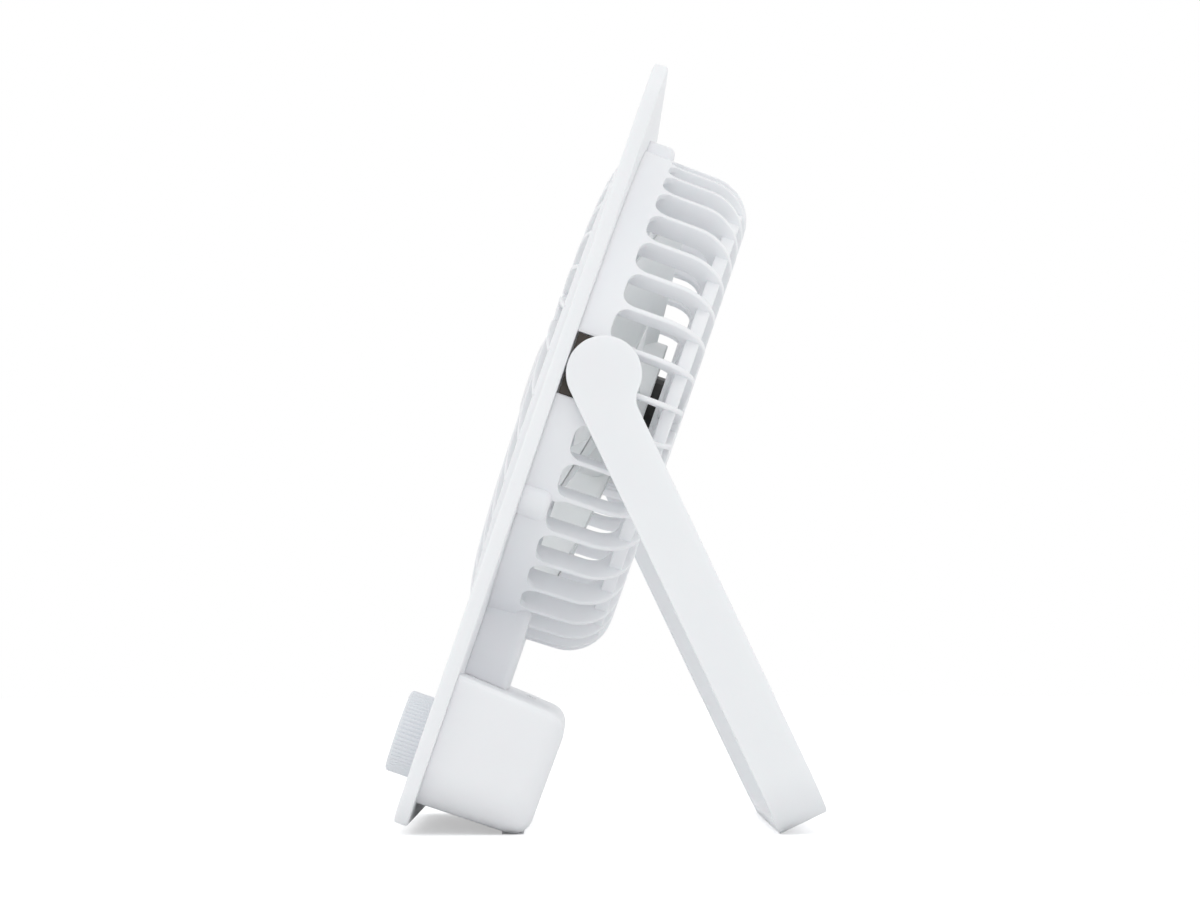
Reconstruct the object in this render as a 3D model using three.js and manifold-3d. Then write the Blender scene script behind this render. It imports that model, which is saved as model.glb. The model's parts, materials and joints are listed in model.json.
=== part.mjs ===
// Desk fan on a U-shaped stand: a flat front panel with a domed spiral grille, a finned rear
// housing, a battery box behind the panel's foot, and a speed knob.
// Millimetres. Every piece is drawn with the panel upright: X to the right, Y from the panel's
// front face towards the back, Z up from the fan's axis. The whole is then tilted back and stood
// on the ground.
import * as THREE from 'three';
import { mergeVertices } from 'three/addons/utils/BufferGeometryUtils.js';
import Module from 'manifold-3d';

const wasm = await Module();
wasm.setup();

// ---- Driving dimensions ------------------------------------------------------------------

const seatGap = 0.3; // between pieces that touch
const tiltBack = 19.1; // panel from the vertical, degrees

// Front panel
const panelThickness = 4.8;
const panelCorner = 12;
const panelAboveRing = 18.4; // its top edge over the rear housing
const panelBelowBox = 7.8; // its bottom edge under the battery box
const openingInset = 5.5; // the opening's edge inside the housing's outer radius

// Rear housing
const housingRadius = 86;
const housingTaper = 1.2; // what its radius loses by the rear face
const housingDepth = 40.9; // behind the panel's back
const wallThickness = 2.4;
const solidWallLength = 9.5; // from the panel's back to the slots
const housingCorner = 15.4; // rounding of the rear rim
const finCount = 40;
const finThickness = 1.75;
const finDepth = 8;
const slotCorner = 4;
const bandInset = 9.7; // the inner band's middle inside the housing's outer radius
const bandThickness = 2;
const bandDepth = 33.9; // behind the panel's back
const bandLength = 4.5;
const hubRadius = 28.5;
const hubDepth = 9.3;
const hubFloor = 3.4;
const hubProud = 0.4; // behind the fins' rear faces
const bossRadius = 5.5;
const bossProud = 4.6;
const neckHalfWidth = 34;
const neckDepth = 14.7;

// Front grille
const domeHeight = 6.5; // in front of the panel's face at the grille's middle
const domeCrown = 2.1; // how much of it an even curve loses by the rim
const domeShoulder = 2.8; // what the shoulder near the rim loses
const domeShoulderPower = 12; // how late the shoulder drops
const grilleFinPairs = 16; // one long and one short fin in each pair
const grilleFinThickness = 1.6;
const grilleFinDepth = 4.6;
const spiralAngle = 30; // between a fin and the radius, degrees
const grilleRimWidth = 2.8;
const grilleFlange = 1.9;
const grilleFlangeThickness = 1.5;
const grilleHubRadius = 16;
const grilleHubThickness = 4;
const grilleMidRadius = 38;
const grilleMidWidth = 1.6;
const grilleMidDepth = 3.4;
const capRadius = 13;
const capThickness = 1.3;

// Motor and impeller
const motorRadius = 14.6;
const motorDepth = 16.2; // behind the panel's back
const shaftRadius = 1.5;
const shaftInMotor = 12;
const bushRadius = 3.6;
const bushLength = 5;
const impellerTipGap = 5.2; // to the heads of the pivot screws
const impellerHubRadius = 25.5;
const impellerHubLength = 21;
const impellerHubWall = 2;
const impellerAhead = 8.5; // the hub's front ahead of the motor's
const bladeCount = 5;
const bladeThickness = 1.6;
const bladeBearing = 20; // of the first blade, degrees
const bladeRootSweep = 66; // degrees round the axis
const bladeTipSweep = 54;
const bladeRootStart = 1; // behind the hub's front
const bladeTipStart = 2;
const bladeRootDepth = 16;
const bladeTipDepth = 10.7;
const bladeLean = 14; // the tip trails the root, degrees
const nutRadius = 5.5;
const nutLength = 5;
const sleeveRadius = 4.6;

// Battery box
const boxBelowRing = 16.8; // its top under the rear housing
const boxHeight = 43.8;
const boxDepth = 38.1; // behind the panel's back
const boxRearLean = 1; // how much less deep it is at the bottom
const boxTopFall = 2.4; // the top falls and the bottom rises towards the rear
const boxBottomRise = 0.4;
const boxWall = 2.2;
const boxLowerCorner = 14; // seen from the front
const boxUpperCorner = 8;
const boxRearCorner = 6.8; // seen from the side
const boxPlanCorner = 8; // seen from above
const boxPostRadius = 4.6;
const boxPostToTray = 1.7;
const boxPostToSide = 11.5; // from its middle to the box's side
const boxPostFromTop = 9.9;
const boxPostFromBottom = 12;
const boxScrewBite = 7; // thickness of the post's floor under the screw's head

// Knob and its switch
const knobRadius = 14.35;
const knobProud = 11.2;
const knobLift = 0.4;
const knobBelowBoxTop = 26.2;
const knobFluteCount = 36;
const knobFluteDepth = 0.5;
const knobChamfer = 0.8;
const dialShaftRadius = 3;
const collarRadius = 4.2;
const switchBodySize = 12;
const switchBodyDepth = 6.4;

// Electronics and cells
const boardHalfWidth = 38;
const boardBelowBoxTop = 8.9;
const boardAboveBoxBottom = 3.5;
const boardThickness = 1.6;
const boardPostX = 30;
const boardPostBelowEdge = 5;
const boardPostRadius = 2.6;
const cellRadius = 9.2;
const cellLength = 65.2;
const cellDepth = 24; // of the cells' axis, behind the panel's back
const trayThickness = 1.6;
const trayWallDepth = 18;
const socketX = -35;
const socketBehindPanel = 23.3;
const socketWidth = 9;
const socketHeight = 3.2;
const socketLength = 7.2;
const socketWall = 0.4;
const socketCorner = 1.3;
const socketBoardHalfWidth = 13;
const socketBoardHeight = 11;
const socketBoardThickness = 1.2;

// Stand and its pivots
const armClearance = 0.8; // beside the housing and the box
const pivotAboveAxis = 3;
const foldClearance = 4.4; // between the folded stand's cross bar and the box's bottom
const standThickness = 3.5;
const standDiscRadius = 12.2;
const standRearAtPivot = 5.1; // rear edge of the arm behind the pivot
const standRearAtFoot = 4.8;
const standBend = 18;
const stubRadius = 4;
const pivotBlockInset = 3.7; // how far the pivot block stands inside the wall
const pocketHalfHeight = 10.5;
const pocketDepth = 2.9;
const pocketBehindPivot = 6;
const pocketWall = 0.8; // of the pivot block round the pocket
const hingePlateThickness = 1.5;
const spacerRadius = 5.4;
const pivotWasherRadius = 7;
const pivotWasherThickness = 1.3;

// Fasteners and feet
const screwRadius = 1.4;
const screwHeadRadius = 2.5;
const screwHeadHeight = 1.8;
const pivotHeadRadius = 3.4;
const smallScrewRadius = 1;
const smallHeadRadius = 1.8;
const smallHeadHeight = 1.2;
const headSunk = 0.2; // how far a head lies below the surface round it
const motorScrewCircle = 9;
const footLength = 34;
const footWidth = 7;
const footThickness = 1.3;
const footProud = 0.3;
const footX = 52;

// ---- Values worked out from them ---------------------------------------------------------

const radians = THREE.MathUtils.degToRad;
const tilt = radians(tiltBack);
const clearHole = screwRadius + seatGap;
const smallHole = smallScrewRadius + seatGap;

// The cells lie end to end in their tray, with the box's screw posts beyond it.
const trayInnerEnd = cellLength + 2 * seatGap + trayThickness / 2;
const trayOuterEnd = trayInnerEnd + trayThickness;
const boxPostX = trayOuterEnd + boxPostToTray + boxPostRadius;
const boxHalfWidth = boxPostX + boxPostToSide;

// Across the fan
const armInside = Math.max(housingRadius, boxHalfWidth) + armClearance;
const armOutside = armInside + standThickness;
const halfPanel = armOutside;
const openingRadius = housingRadius - openingInset;
const innerRadius = housingRadius - wallThickness;
const bandRadius = housingRadius - bandInset;
const blockOutside = armInside - armClearance - seatGap;
const blockInside = innerRadius - pivotBlockInset;
const pocketFloor = blockOutside - pocketDepth;
const flangeOuter = openingRadius + grilleFlange;
const pivotHeadOutside = blockInside - 2 * seatGap - pivotWasherThickness;
const pivotHeadInside = pivotHeadOutside - screwHeadHeight;
const impellerRadius = pivotHeadInside - impellerTipGap;
const bossScrewRadius = housingRadius + bossProud - bossRadius;
const bossAngles = [90, -30, 210];
const cupRadius = motorRadius + seatGap;
const shaftBore = shaftRadius + seatGap;
const slotPitch = 2 * Math.PI / finCount;
const openingSides = 60;

// Heights from the fan's axis
const boxTop = -(housingRadius + boxBelowRing);
const boxBottom = boxTop - boxHeight;
const panelAboveAxis = housingRadius + panelAboveRing;
const panelBelowAxis = panelBelowBox - boxBottom;
const boxPostUpper = boxTop - boxPostFromTop;
const boxPostLower = boxBottom + boxPostFromBottom;
const knobAxis = boxTop - knobBelowBoxTop;
const boardTop = boxTop - boardBelowBoxTop;
const boardBottom = boxBottom + boardAboveBoxBottom;
const boardPostZ = boardTop - boardPostBelowEdge;
const trayBottom = boxBottom + boxBottomRise + boxWall + seatGap;
const trayTop = trayBottom + 2 * cellRadius + 1.4;
const cellAxis = trayBottom + cellRadius + 0.7;
const standLength = pivotAboveAxis - boxBottom + foldClearance + standThickness; // to the bar's outside

// Depths from the panel's front face
const housingFront = panelThickness + seatGap;
const slotFront = housingFront + solidWallLength;
const housingRear = panelThickness + housingDepth;
const bandFront = panelThickness + bandDepth;
const hubFront = housingRear - hubDepth;
const hubRear = housingRear + hubProud;
const motorFront = panelThickness + motorDepth;
const motorRear = housingRear - hubFloor - seatGap;
const impellerHubFront = motorFront - impellerAhead;
const impellerHubRear = impellerHubFront + impellerHubLength;
const shaftFront = impellerHubFront - nutLength / 2;
const flangeRear = housingFront + grilleFlangeThickness;
const boxFront = housingFront;
const boxRear = panelThickness + boxDepth;
const boxScrewSeat = boxFront + boxScrewBite;
const cellAxisDepth = panelThickness + cellDepth;
const trayFront = cellAxisDepth - cellRadius - seatGap - trayThickness;
const socketDepth = panelThickness + socketBehindPanel;
const knobRear = -knobLift;
const pivotDepth = housingFront + standDiscRadius;
const pocketRear = pivotDepth + pocketBehindPivot;

// ---- Solids and meshes -------------------------------------------------------------------

function solid(geometry) {
  const plain = geometry.clone();
  plain.deleteAttribute('normal');
  plain.deleteAttribute('uv');
  const welded = mergeVertices(plain, 1e-5);
  return new wasm.Manifold(new wasm.Mesh({
    numProp: 3,
    vertProperties: new Float32Array(welded.attributes.position.array),
    triVerts: new Uint32Array(welded.index.array),
  }));
}

function join(solids) {
  return solids.reduce((whole, piece) => whole.add(piece));
}

function cut(whole, tools) {
  return tools.reduce((left, tool) => left.subtract(tool), whole);
}

function geometryOf(body) {
  const mesh = body.getMesh();
  const geometry = new THREE.BufferGeometry();
  geometry.setAttribute('position', new THREE.BufferAttribute(mesh.vertProperties, 3));
  geometry.setIndex(new THREE.BufferAttribute(mesh.triVerts, 1));
  return geometry;
}

function shapeOf(points) {
  return new THREE.Shape(points.map(([x, y]) => new THREE.Vector2(x, y)));
}

// The centre of the arc that rounds a corner; each corner is [x, y, radius].
function arcCentre(before, [x, y, radius], after) {
  const corner = new THREE.Vector2(x, y);
  const back = new THREE.Vector2(before[0], before[1]).sub(corner).normalize();
  const ahead = new THREE.Vector2(after[0], after[1]).sub(corner).normalize();
  const half = Math.acos(back.dot(ahead)) / 2;
  const centre = back.clone().add(ahead).normalize().multiplyScalar(radius / Math.sin(half)).add(corner);
  return { centre, back, ahead, half };
}

// A polygon whose corners are rounded.
function roundedOutline(corners, steps = 5) {
  const points = [];
  corners.forEach(([x, y, radius], i) => {
    const before = corners[(i + corners.length - 1) % corners.length];
    const after = corners[(i + 1) % corners.length];
    const corner = new THREE.Vector2(x, y);
    if (!radius) {
      points.push([x, y]);
      return;
    }
    const { centre, back, ahead, half } = arcCentre(before, [x, y, radius], after);
    const first = corner.clone().addScaledVector(back, radius / Math.tan(half)).sub(centre);
    const last = corner.clone().addScaledVector(ahead, radius / Math.tan(half)).sub(centre);
    const start = first.angle();
    let turn = last.angle() - start;
    if (turn > Math.PI) turn -= 2 * Math.PI;
    if (turn < -Math.PI) turn += 2 * Math.PI;
    for (let k = 0; k <= steps; k += 1) {
      const angle = start + turn * k / steps;
      points.push([centre.x + radius * Math.cos(angle), centre.y + radius * Math.sin(angle)]);
    }
  });
  return points;
}

function roundedRectangle(x0, x1, y0, y1, radius, steps) {
  return roundedOutline([[x0, y0, radius], [x1, y0, radius], [x1, y1, radius], [x0, y1, radius]], steps);
}

function block(x0, x1, y0, y1, z0, z1) {
  const geometry = new THREE.BoxGeometry(x1 - x0, y1 - y0, z1 - z0);
  geometry.translate((x0 + x1) / 2, (y0 + y1) / 2, (z0 + z1) / 2);
  return solid(geometry);
}

// An outline in X and Z, extruded from depth y0 to depth y1.
function alongDepth(outline, y0, y1) {
  const geometry = new THREE.ExtrudeGeometry(shapeOf(outline), { depth: y1 - y0, bevelEnabled: false });
  geometry.applyMatrix4(new THREE.Matrix4().makeBasis(
    new THREE.Vector3(1, 0, 0), new THREE.Vector3(0, 0, 1), new THREE.Vector3(0, -1, 0)));
  geometry.translate(0, y1, 0);
  return solid(geometry);
}

// An outline in Y and Z, extruded from x0 to x1.
function alongWidth(outline, x0, x1) {
  const geometry = new THREE.ExtrudeGeometry(shapeOf(outline), { depth: x1 - x0, bevelEnabled: false });
  geometry.applyMatrix4(new THREE.Matrix4().makeBasis(
    new THREE.Vector3(0, 1, 0), new THREE.Vector3(0, 0, 1), new THREE.Vector3(1, 0, 0)));
  geometry.translate(x0, 0, 0);
  return solid(geometry);
}

// An outline in X and Y, extruded from z0 to z1.
function alongHeight(outline, z0, z1) {
  const geometry = new THREE.ExtrudeGeometry(shapeOf(outline), { depth: z1 - z0, bevelEnabled: false });
  geometry.translate(0, 0, z0);
  return solid(geometry);
}

function rodAlongDepth(x, z, radius, y0, y1, sides = 16) {
  const geometry = new THREE.CylinderGeometry(radius, radius, y1 - y0, sides);
  geometry.translate(x, (y0 + y1) / 2, z);
  return solid(geometry);
}

function rodAlongWidth(y, z, radius, x0, x1, sides = 24) {
  const geometry = new THREE.CylinderGeometry(radius, radius, x1 - x0, sides);
  geometry.rotateZ(Math.PI / 2);
  geometry.translate((x0 + x1) / 2, y, z);
  return solid(geometry);
}

// A closed profile of [radius, depth] turned round the fan's axis.
function turned(profile, segments) {
  const points = profile.map(([radius, depth]) => new THREE.Vector2(radius, depth));
  if (profile[0][0] > 0 || profile[profile.length - 1][0] > 0) points.push(points[0].clone());
  let body = solid(new THREE.LatheGeometry(points, segments));
  if (body.volume() < 0) {
    const flipped = new THREE.LatheGeometry(points.reverse(), segments);
    body = solid(flipped);
  }
  return body;
}

// A ring round the fan's axis with a rectangular section, or a disc where inner is 0.
function ring(inner, outer, y0, y1, segments) {
  return turned([[inner, y0], [outer, y0], [outer, y1], [inner, y1]], segments);
}

// A closed strip from rings of four corners, in order along its length.
function strip(rings) {
  const positions = rings.flat(2);
  const index = [0, 1, 2, 0, 2, 3];
  const last = 4 * (rings.length - 1);
  index.push(last, last + 2, last + 1, last, last + 3, last + 2);
  for (let i = 0; i + 1 < rings.length; i += 1) {
    for (let k = 0; k < 4; k += 1) {
      const a = 4 * i + k;
      const b = 4 * i + (k + 1) % 4;
      index.push(a, a + 4, b + 4, a, b + 4, b);
    }
  }
  return closedBody(positions, index);
}

function closedBody(positions, index) {
  const make = (order) => {
    const geometry = new THREE.BufferGeometry();
    geometry.setAttribute('position', new THREE.Float32BufferAttribute(positions, 3));
    geometry.setIndex(order);
    return solid(geometry);
  };
  const body = make(index);
  return body.volume() > 0 ? body : make(index.slice().reverse());
}

function turnedBy(body, degrees) {
  return body.rotate([0, degrees, 0]);
}

// ---- Materials ---------------------------------------------------------------------------

const material = (color, roughness, metalness = 0) =>
  new THREE.MeshStandardMaterial({ color, roughness, metalness });
const whiteShell = material(0xf0f1f4, 0.42);
const whiteKnob = material(0xe9ebee, 0.5);
const whiteBlade = material(0xe4e9ea, 0.35);
const blackMotor = material(0x101010, 0.35, 0.4);
const steel = material(0xb9bbbd, 0.3, 0.9);
const brownSteel = material(0x5a5249, 0.45, 0.8);
const bronze = material(0xa8814a, 0.4, 0.8);
const nylon = material(0xdedede, 0.6);
const board = material(0x1f5a38, 0.55);
const cellSleeve = material(0x3b6fa8, 0.4);
const darkPlastic = material(0x25262a, 0.5);
const rubber = material(0xc9cccf, 0.85);

const upright = new THREE.Group();

function place(name, body, look) {
  const mesh = new THREE.Mesh(geometryOf(body), look);
  mesh.name = name;
  upright.add(mesh);
  return mesh;
}

// ---- Front panel -------------------------------------------------------------------------

function boxScrewPlaces() {
  return [boxPostUpper, boxPostLower].flatMap((z) => [[boxPostX, z], [-boxPostX, z]]);
}

const bossRear = slotFront - headSunk;

function bossPlaces() {
  return bossAngles.map((degrees) => [
    bossScrewRadius * Math.cos(radians(degrees)), bossScrewRadius * Math.sin(radians(degrees))]);
}

const screwTip = 0.35 * panelThickness; // how near a screw comes to the panel's face
const boardFront = housingFront + switchBodyDepth + seatGap;

function frontPanel() {
  const outline = roundedRectangle(-halfPanel, halfPanel, -panelBelowAxis, panelAboveAxis, panelCorner, 4);
  const posts = [-boardPostX, boardPostX].map((x) =>
    rodAlongDepth(x, boardPostZ, boardPostRadius, panelThickness - 1, boardFront - seatGap));
  const sheet = join([alongDepth(outline, 0, panelThickness), ...posts]);
  const opening = ring(0, openingRadius, -1, panelThickness + 1, openingSides);
  const screwHoles = [...bossPlaces(), ...boxScrewPlaces()].map(([x, z]) =>
    rodAlongDepth(x, z, clearHole, screwTip - seatGap, panelThickness + 1, 12));
  const postHoles = [-boardPostX, boardPostX].map((x) =>
    rodAlongDepth(x, boardPostZ, smallHole, panelThickness, boardFront, 10));
  const collarHole = rodAlongDepth(0, knobAxis, collarRadius + seatGap, -1, panelThickness + 1, 20);
  return cut(sheet, [opening, ...screwHoles, ...postHoles, collarHole]);
}

place('front_panel', frontPanel(), whiteShell);

// ---- Front grille ------------------------------------------------------------------------

// How far the dome stands in front of the panel's face, at a distance from the axis.
function domeAt(radius) {
  const share = radius / openingRadius;
  return domeHeight - domeCrown * share * share - domeShoulder * Math.pow(share, domeShoulderPower);
}

// One spiral fin, from the radius r0 out to r1, starting its spiral on the given bearing.
function grilleFin(bearing, r0, r1, steps) {
  const rings = [];
  const lean = radians(spiralAngle);
  for (let i = 0; i <= steps; i += 1) {
    const radius = r0 * Math.pow(r1 / r0, i / steps);
    const angle = bearing - Math.tan(lean) * Math.log(radius / grilleHubRadius);
    const x = radius * Math.cos(angle);
    const z = radius * Math.sin(angle);
    const across = angle - lean + Math.PI / 2;
    const dx = 0.5 * grilleFinThickness * Math.cos(across);
    const dz = 0.5 * grilleFinThickness * Math.sin(across);
    const front = -domeAt(radius);
    const rear = front + grilleFinDepth;
    rings.push([
      [x - dx, front, z - dz], [x + dx, front, z + dz], [x + dx, rear, z + dz], [x - dx, rear, z - dz]]);
  }
  return strip(rings);
}

function grilleRimOuter() {
  return openingRadius - seatGap;
}

function frontGrille() {
  const outer = grilleRimOuter();
  const inner = outer - grilleRimWidth;
  const rimFront = -domeAt(inner) - 0.1;
  const rim = turned([
    [inner, rimFront], [outer - 1.2, 0.62 * rimFront], [outer, 0.3], [outer, housingFront],
    [flangeOuter, housingFront], [flangeOuter, flangeRear], [inner, flangeRear]], openingSides);
  const hub = turned([
    [0, -domeHeight], [capRadius + seatGap, -domeHeight], [grilleHubRadius - 0.6, 0.5 - domeHeight],
    [grilleHubRadius, 1.1 - domeHeight], [grilleHubRadius, grilleHubThickness - domeHeight],
    [0, grilleHubThickness - domeHeight]], 32);
  const midFront = 0.4 - domeAt(grilleMidRadius);
  const mid = ring(grilleMidRadius - grilleMidWidth / 2, grilleMidRadius + grilleMidWidth / 2,
    midFront, midFront + grilleMidDepth, 2 * grilleFinPairs);
  const fins = [];
  for (let i = 0; i < grilleFinPairs; i += 1) {
    const bearing = 2 * Math.PI * i / grilleFinPairs;
    fins.push(grilleFin(bearing, grilleHubRadius - 1.2, outer - 1.6, 7));
    fins.push(grilleFin(bearing + Math.PI / grilleFinPairs, grilleMidRadius, outer - 1.6, 4));
  }
  return join([rim, hub, mid, ...fins]);
}

place('front_grille', frontGrille(), whiteShell);

function grilleCap() {
  const front = -domeHeight - seatGap - capThickness;
  const rear = -domeHeight - seatGap;
  return turned([
    [0, front], [0.75 * capRadius, front + 0.15], [capRadius - 0.4, front + 0.45],
    [capRadius, front + 0.8], [capRadius, rear], [0, rear]], 24);
}

place('grille_cap', grilleCap(), whiteShell);

// ---- Rear housing ------------------------------------------------------------------------

// The housing's outer radius at a depth.
function sideRadius(depth) {
  return housingRadius - housingTaper * (depth - housingFront) / (housingRear - housingFront);
}

const finStart = slotFront - 1.5; // a fin's root is inside the solid wall

// One radial fin: its outer edge follows the housing's side, rim and back.
function housingFin() {
  const steps = 4;
  const outline = [];
  const centreDepth = housingRear - housingCorner;
  const centreRadius = sideRadius(centreDepth) - housingCorner;
  const inset = housingRadius * (1 - Math.cos(slotPitch / 4)) + 0.05; // keeps it inside the faceted wall
  outline.push([sideRadius(finStart) - inset, finStart]);
  for (let i = 0; i <= steps; i += 1) {
    const angle = 0.5 * Math.PI * i / steps;
    outline.push([
      centreRadius + (housingCorner - inset) * Math.cos(angle),
      centreDepth + housingCorner * Math.sin(angle)]);
  }
  outline.push([hubRadius - 2.5, housingRear]);
  outline.push([hubRadius - 2.5, housingRear - finDepth]);
  for (let i = steps - 1; i >= 0; i -= 1) {
    const angle = 0.5 * Math.PI * i / (steps - 1);
    outline.push([
      centreRadius + (housingCorner - finDepth) * Math.cos(angle),
      centreDepth + (housingCorner - finDepth) * Math.sin(angle)]);
  }
  outline.push([housingRadius - finDepth, finStart]);
  return alongHeight(outline, -finThickness / 2, finThickness / 2);
}

// What is cut from the end of the solid wall between two fins, with its corners left round.
function slotEnd() {
  const half = housingRadius * Math.tan(slotPitch / 2) - finThickness / 2;
  const rear = slotFront + 2 * slotCorner;
  const outline = roundedOutline([
    [slotFront, -half, slotCorner], [rear, -half, 0], [rear, half, 0], [slotFront, half, slotCorner]], 2);
  return alongWidth(outline, innerRadius - 3, housingRadius + 3);
}

// A round screw boss along the depth, half sunk in the housing's wall.
function screwBoss() {
  const root = block(
    bossScrewRadius - bossRadius, bossScrewRadius, housingFront, bossRear, -bossRadius, bossRadius);
  return rodAlongDepth(bossScrewRadius, 0, bossRadius, housingFront, bossRear, 20).add(root);
}

function neck() {
  const top = -Math.sqrt(innerRadius * innerRadius - neckHalfWidth * neckHalfWidth);
  const outside = block(-neckHalfWidth, neckHalfWidth, housingFront, housingFront + neckDepth,
    boxTop + seatGap, top);
  const bore = ring(0, innerRadius, 0, housingRear, 2 * finCount);
  return outside.subtract(bore);
}

const bossScrewSeat = bossRear - headSunk - screwHeadHeight;
const motorScrewSeat = hubRear - headSunk - smallHeadHeight;

function rearHousing() {
  const ringSides = 2 * finCount;
  const halfFacet = 0.25 * 360 / finCount;
  const wallEnd = slotFront + slotCorner;
  const wall = turned([
    [innerRadius, housingFront], [housingRadius, housingFront],
    [sideRadius(wallEnd), wallEnd], [innerRadius, wallEnd]], ringSides);
  const fins = [];
  const slots = [];
  for (let i = 0; i < finCount; i += 1) {
    fins.push(turnedBy(housingFin(), 360 * i / finCount));
    slots.push(turnedBy(slotEnd(), 360 * (i + 0.5) / finCount));
  }
  const slottedWall = cut(turnedBy(wall, halfFacet), slots);
  const bandRear = bandFront + bandLength;
  const band = ring(
    bandRadius - bandThickness / 2, bandRadius + bandThickness / 2, bandFront, bandRear, finCount);
  const hub = turned([
    [0, hubFront], [hubRadius, hubFront], [hubRadius, hubRear - 0.8],
    [hubRadius - 0.8, hubRear], [0, hubRear]], finCount);
  const bosses = bossAngles.map((degrees) => turnedBy(screwBoss(), -degrees));
  const pivotBlocks = [-1, 1].map((side) => {
    const [x0, x1] = [side * blockInside, side * blockOutside].sort((a, b) => a - b);
    return block(x0, x1, housingFront, pocketRear + pocketWall,
      pivotAboveAxis - pocketHalfHeight - pocketWall, pivotAboveAxis + pocketHalfHeight + pocketWall);
  });
  const whole = join([slottedWall, ...fins, band, hub, ...bosses, neck(), ...pivotBlocks]);
  const cup = rodAlongDepth(0, 0, cupRadius, hubFront - 1, housingRear - hubFloor, 28);
  const motorHoles = [-motorScrewCircle, motorScrewCircle].flatMap((x) => [
    rodAlongDepth(x, 0, smallHole, hubFront, hubRear + 1, 10),
    rodAlongDepth(x, 0, smallHeadRadius + seatGap, motorScrewSeat - seatGap, hubRear + 1, 14)]);
  const bossHoles = bossPlaces().flatMap(([x, z]) => [
    rodAlongDepth(x, z, clearHole, housingFront - 1, slotFront, 12),
    rodAlongDepth(x, z, screwHeadRadius + seatGap, bossScrewSeat - seatGap, slotFront + 8, 14)]);
  const flangeRoom = ring(0, flangeOuter + seatGap, 0, flangeRear + seatGap, openingSides);
  const pockets = [-1, 1].flatMap((side) => {
    const [x0, x1] = [side * pocketFloor, side * (armInside + 6)].sort((a, b) => a - b);
    const [x2, x3] = [side * (blockInside - 2), side * (armInside + 2)].sort((a, b) => a - b);
    const [x4, x5] = [side * (pivotHeadInside - 1), side * blockInside].sort((a, b) => a - b);
    return [
      block(x0, x1, housingFront - 1, pocketRear,
        pivotAboveAxis - pocketHalfHeight, pivotAboveAxis + pocketHalfHeight),
      rodAlongWidth(pivotDepth, pivotAboveAxis, stubRadius + seatGap, x2, x3),
      rodAlongWidth(pivotDepth, pivotAboveAxis, pivotWasherRadius + seatGap, x4, x5)];
  });
  return cut(whole, [cup, ...motorHoles, ...bossHoles, flangeRoom, ...pockets]);
}

place('rear_housing', rearHousing(), whiteShell);

// ---- Motor and impeller ------------------------------------------------------------------

function motor() {
  const body = turned([
    [0, motorFront], [motorRadius - 1, motorFront], [motorRadius, motorFront + 1],
    [motorRadius, motorRear], [0, motorRear]], 28);
  const shaftHole = rodAlongDepth(0, 0, shaftBore, motorFront - 1, motorFront + shaftInMotor + seatGap, 14);
  const bushHole = rodAlongDepth(0, 0, bushRadius + seatGap, motorFront - 1, motorFront + bushLength, 16);
  const screwHoles = [-motorScrewCircle, motorScrewCircle].map((x) =>
    rodAlongDepth(x, 0, smallHole, motorRear - 3, motorRear + 1, 10));
  return cut(body, [shaftHole, bushHole, ...screwHoles]);
}

place('motor', motor(), blackMotor);

const bush = rodAlongDepth(0, 0, bushRadius, motorFront - 0.6, motorFront + bushLength - seatGap, 16)
  .subtract(rodAlongDepth(0, 0, shaftBore, motorFront - 2, motorFront + bushLength + 1, 14));
place('motor_bush', bush, bronze);
place('motor_shaft', rodAlongDepth(0, 0, shaftRadius, shaftFront, motorFront + shaftInMotor, 14), steel);

// One blade: a curved, twisted sheet from inside the hub's wall out to the tip.
function blade() {
  const across = 4;
  const along = 4;
  const faces = [];
  const positions = [];
  const columns = along + 1;
  for (const side of [-0.5, 0.5]) {
    for (let j = 0; j <= across; j += 1) {
      const out = j / across;
      const radius = THREE.MathUtils.lerp(impellerHubRadius - 1, impellerRadius, out);
      const sweep = radians(THREE.MathUtils.lerp(bladeRootSweep, bladeTipSweep, out));
      const front = impellerHubFront + THREE.MathUtils.lerp(bladeRootStart, bladeTipStart, out);
      const rear = front + THREE.MathUtils.lerp(bladeRootDepth, bladeTipDepth, out);
      for (let i = 0; i <= along; i += 1) {
        const share = i / along;
        const angle = (share - 0.5) * sweep + radians(bladeLean) * out * out;
        const camber = 0.12 * (rear - front) * Math.sin(Math.PI * share);
        const depth = THREE.MathUtils.lerp(front, rear, share) + camber + side * bladeThickness;
        const tipRound = 1 - 0.035 * out * Math.pow(2 * share - 1, 2);
        positions.push(tipRound * radius * Math.cos(angle), depth, tipRound * radius * Math.sin(angle));
      }
    }
  }
  const sheet = columns * (across + 1);
  const quad = (a, b, c, d) => faces.push(a, b, c, a, c, d);
  for (let j = 0; j < across; j += 1) {
    for (let i = 0; i < along; i += 1) {
      const a = j * columns + i;
      quad(a, a + 1, a + 1 + columns, a + columns);
      quad(sheet + a, sheet + a + columns, sheet + a + 1 + columns, sheet + a + 1);
    }
    const left = j * columns;
    quad(left, left + columns, sheet + left + columns, sheet + left);
    const right = left + along;
    quad(right, sheet + right, sheet + right + columns, right + columns);
  }
  for (let i = 0; i < along; i += 1) {
    quad(i, sheet + i, sheet + i + 1, i + 1);
    const tip = across * columns + i;
    quad(tip, tip + 1, sheet + tip + 1, sheet + tip);
  }
  return closedBody(positions, faces);
}

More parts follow.
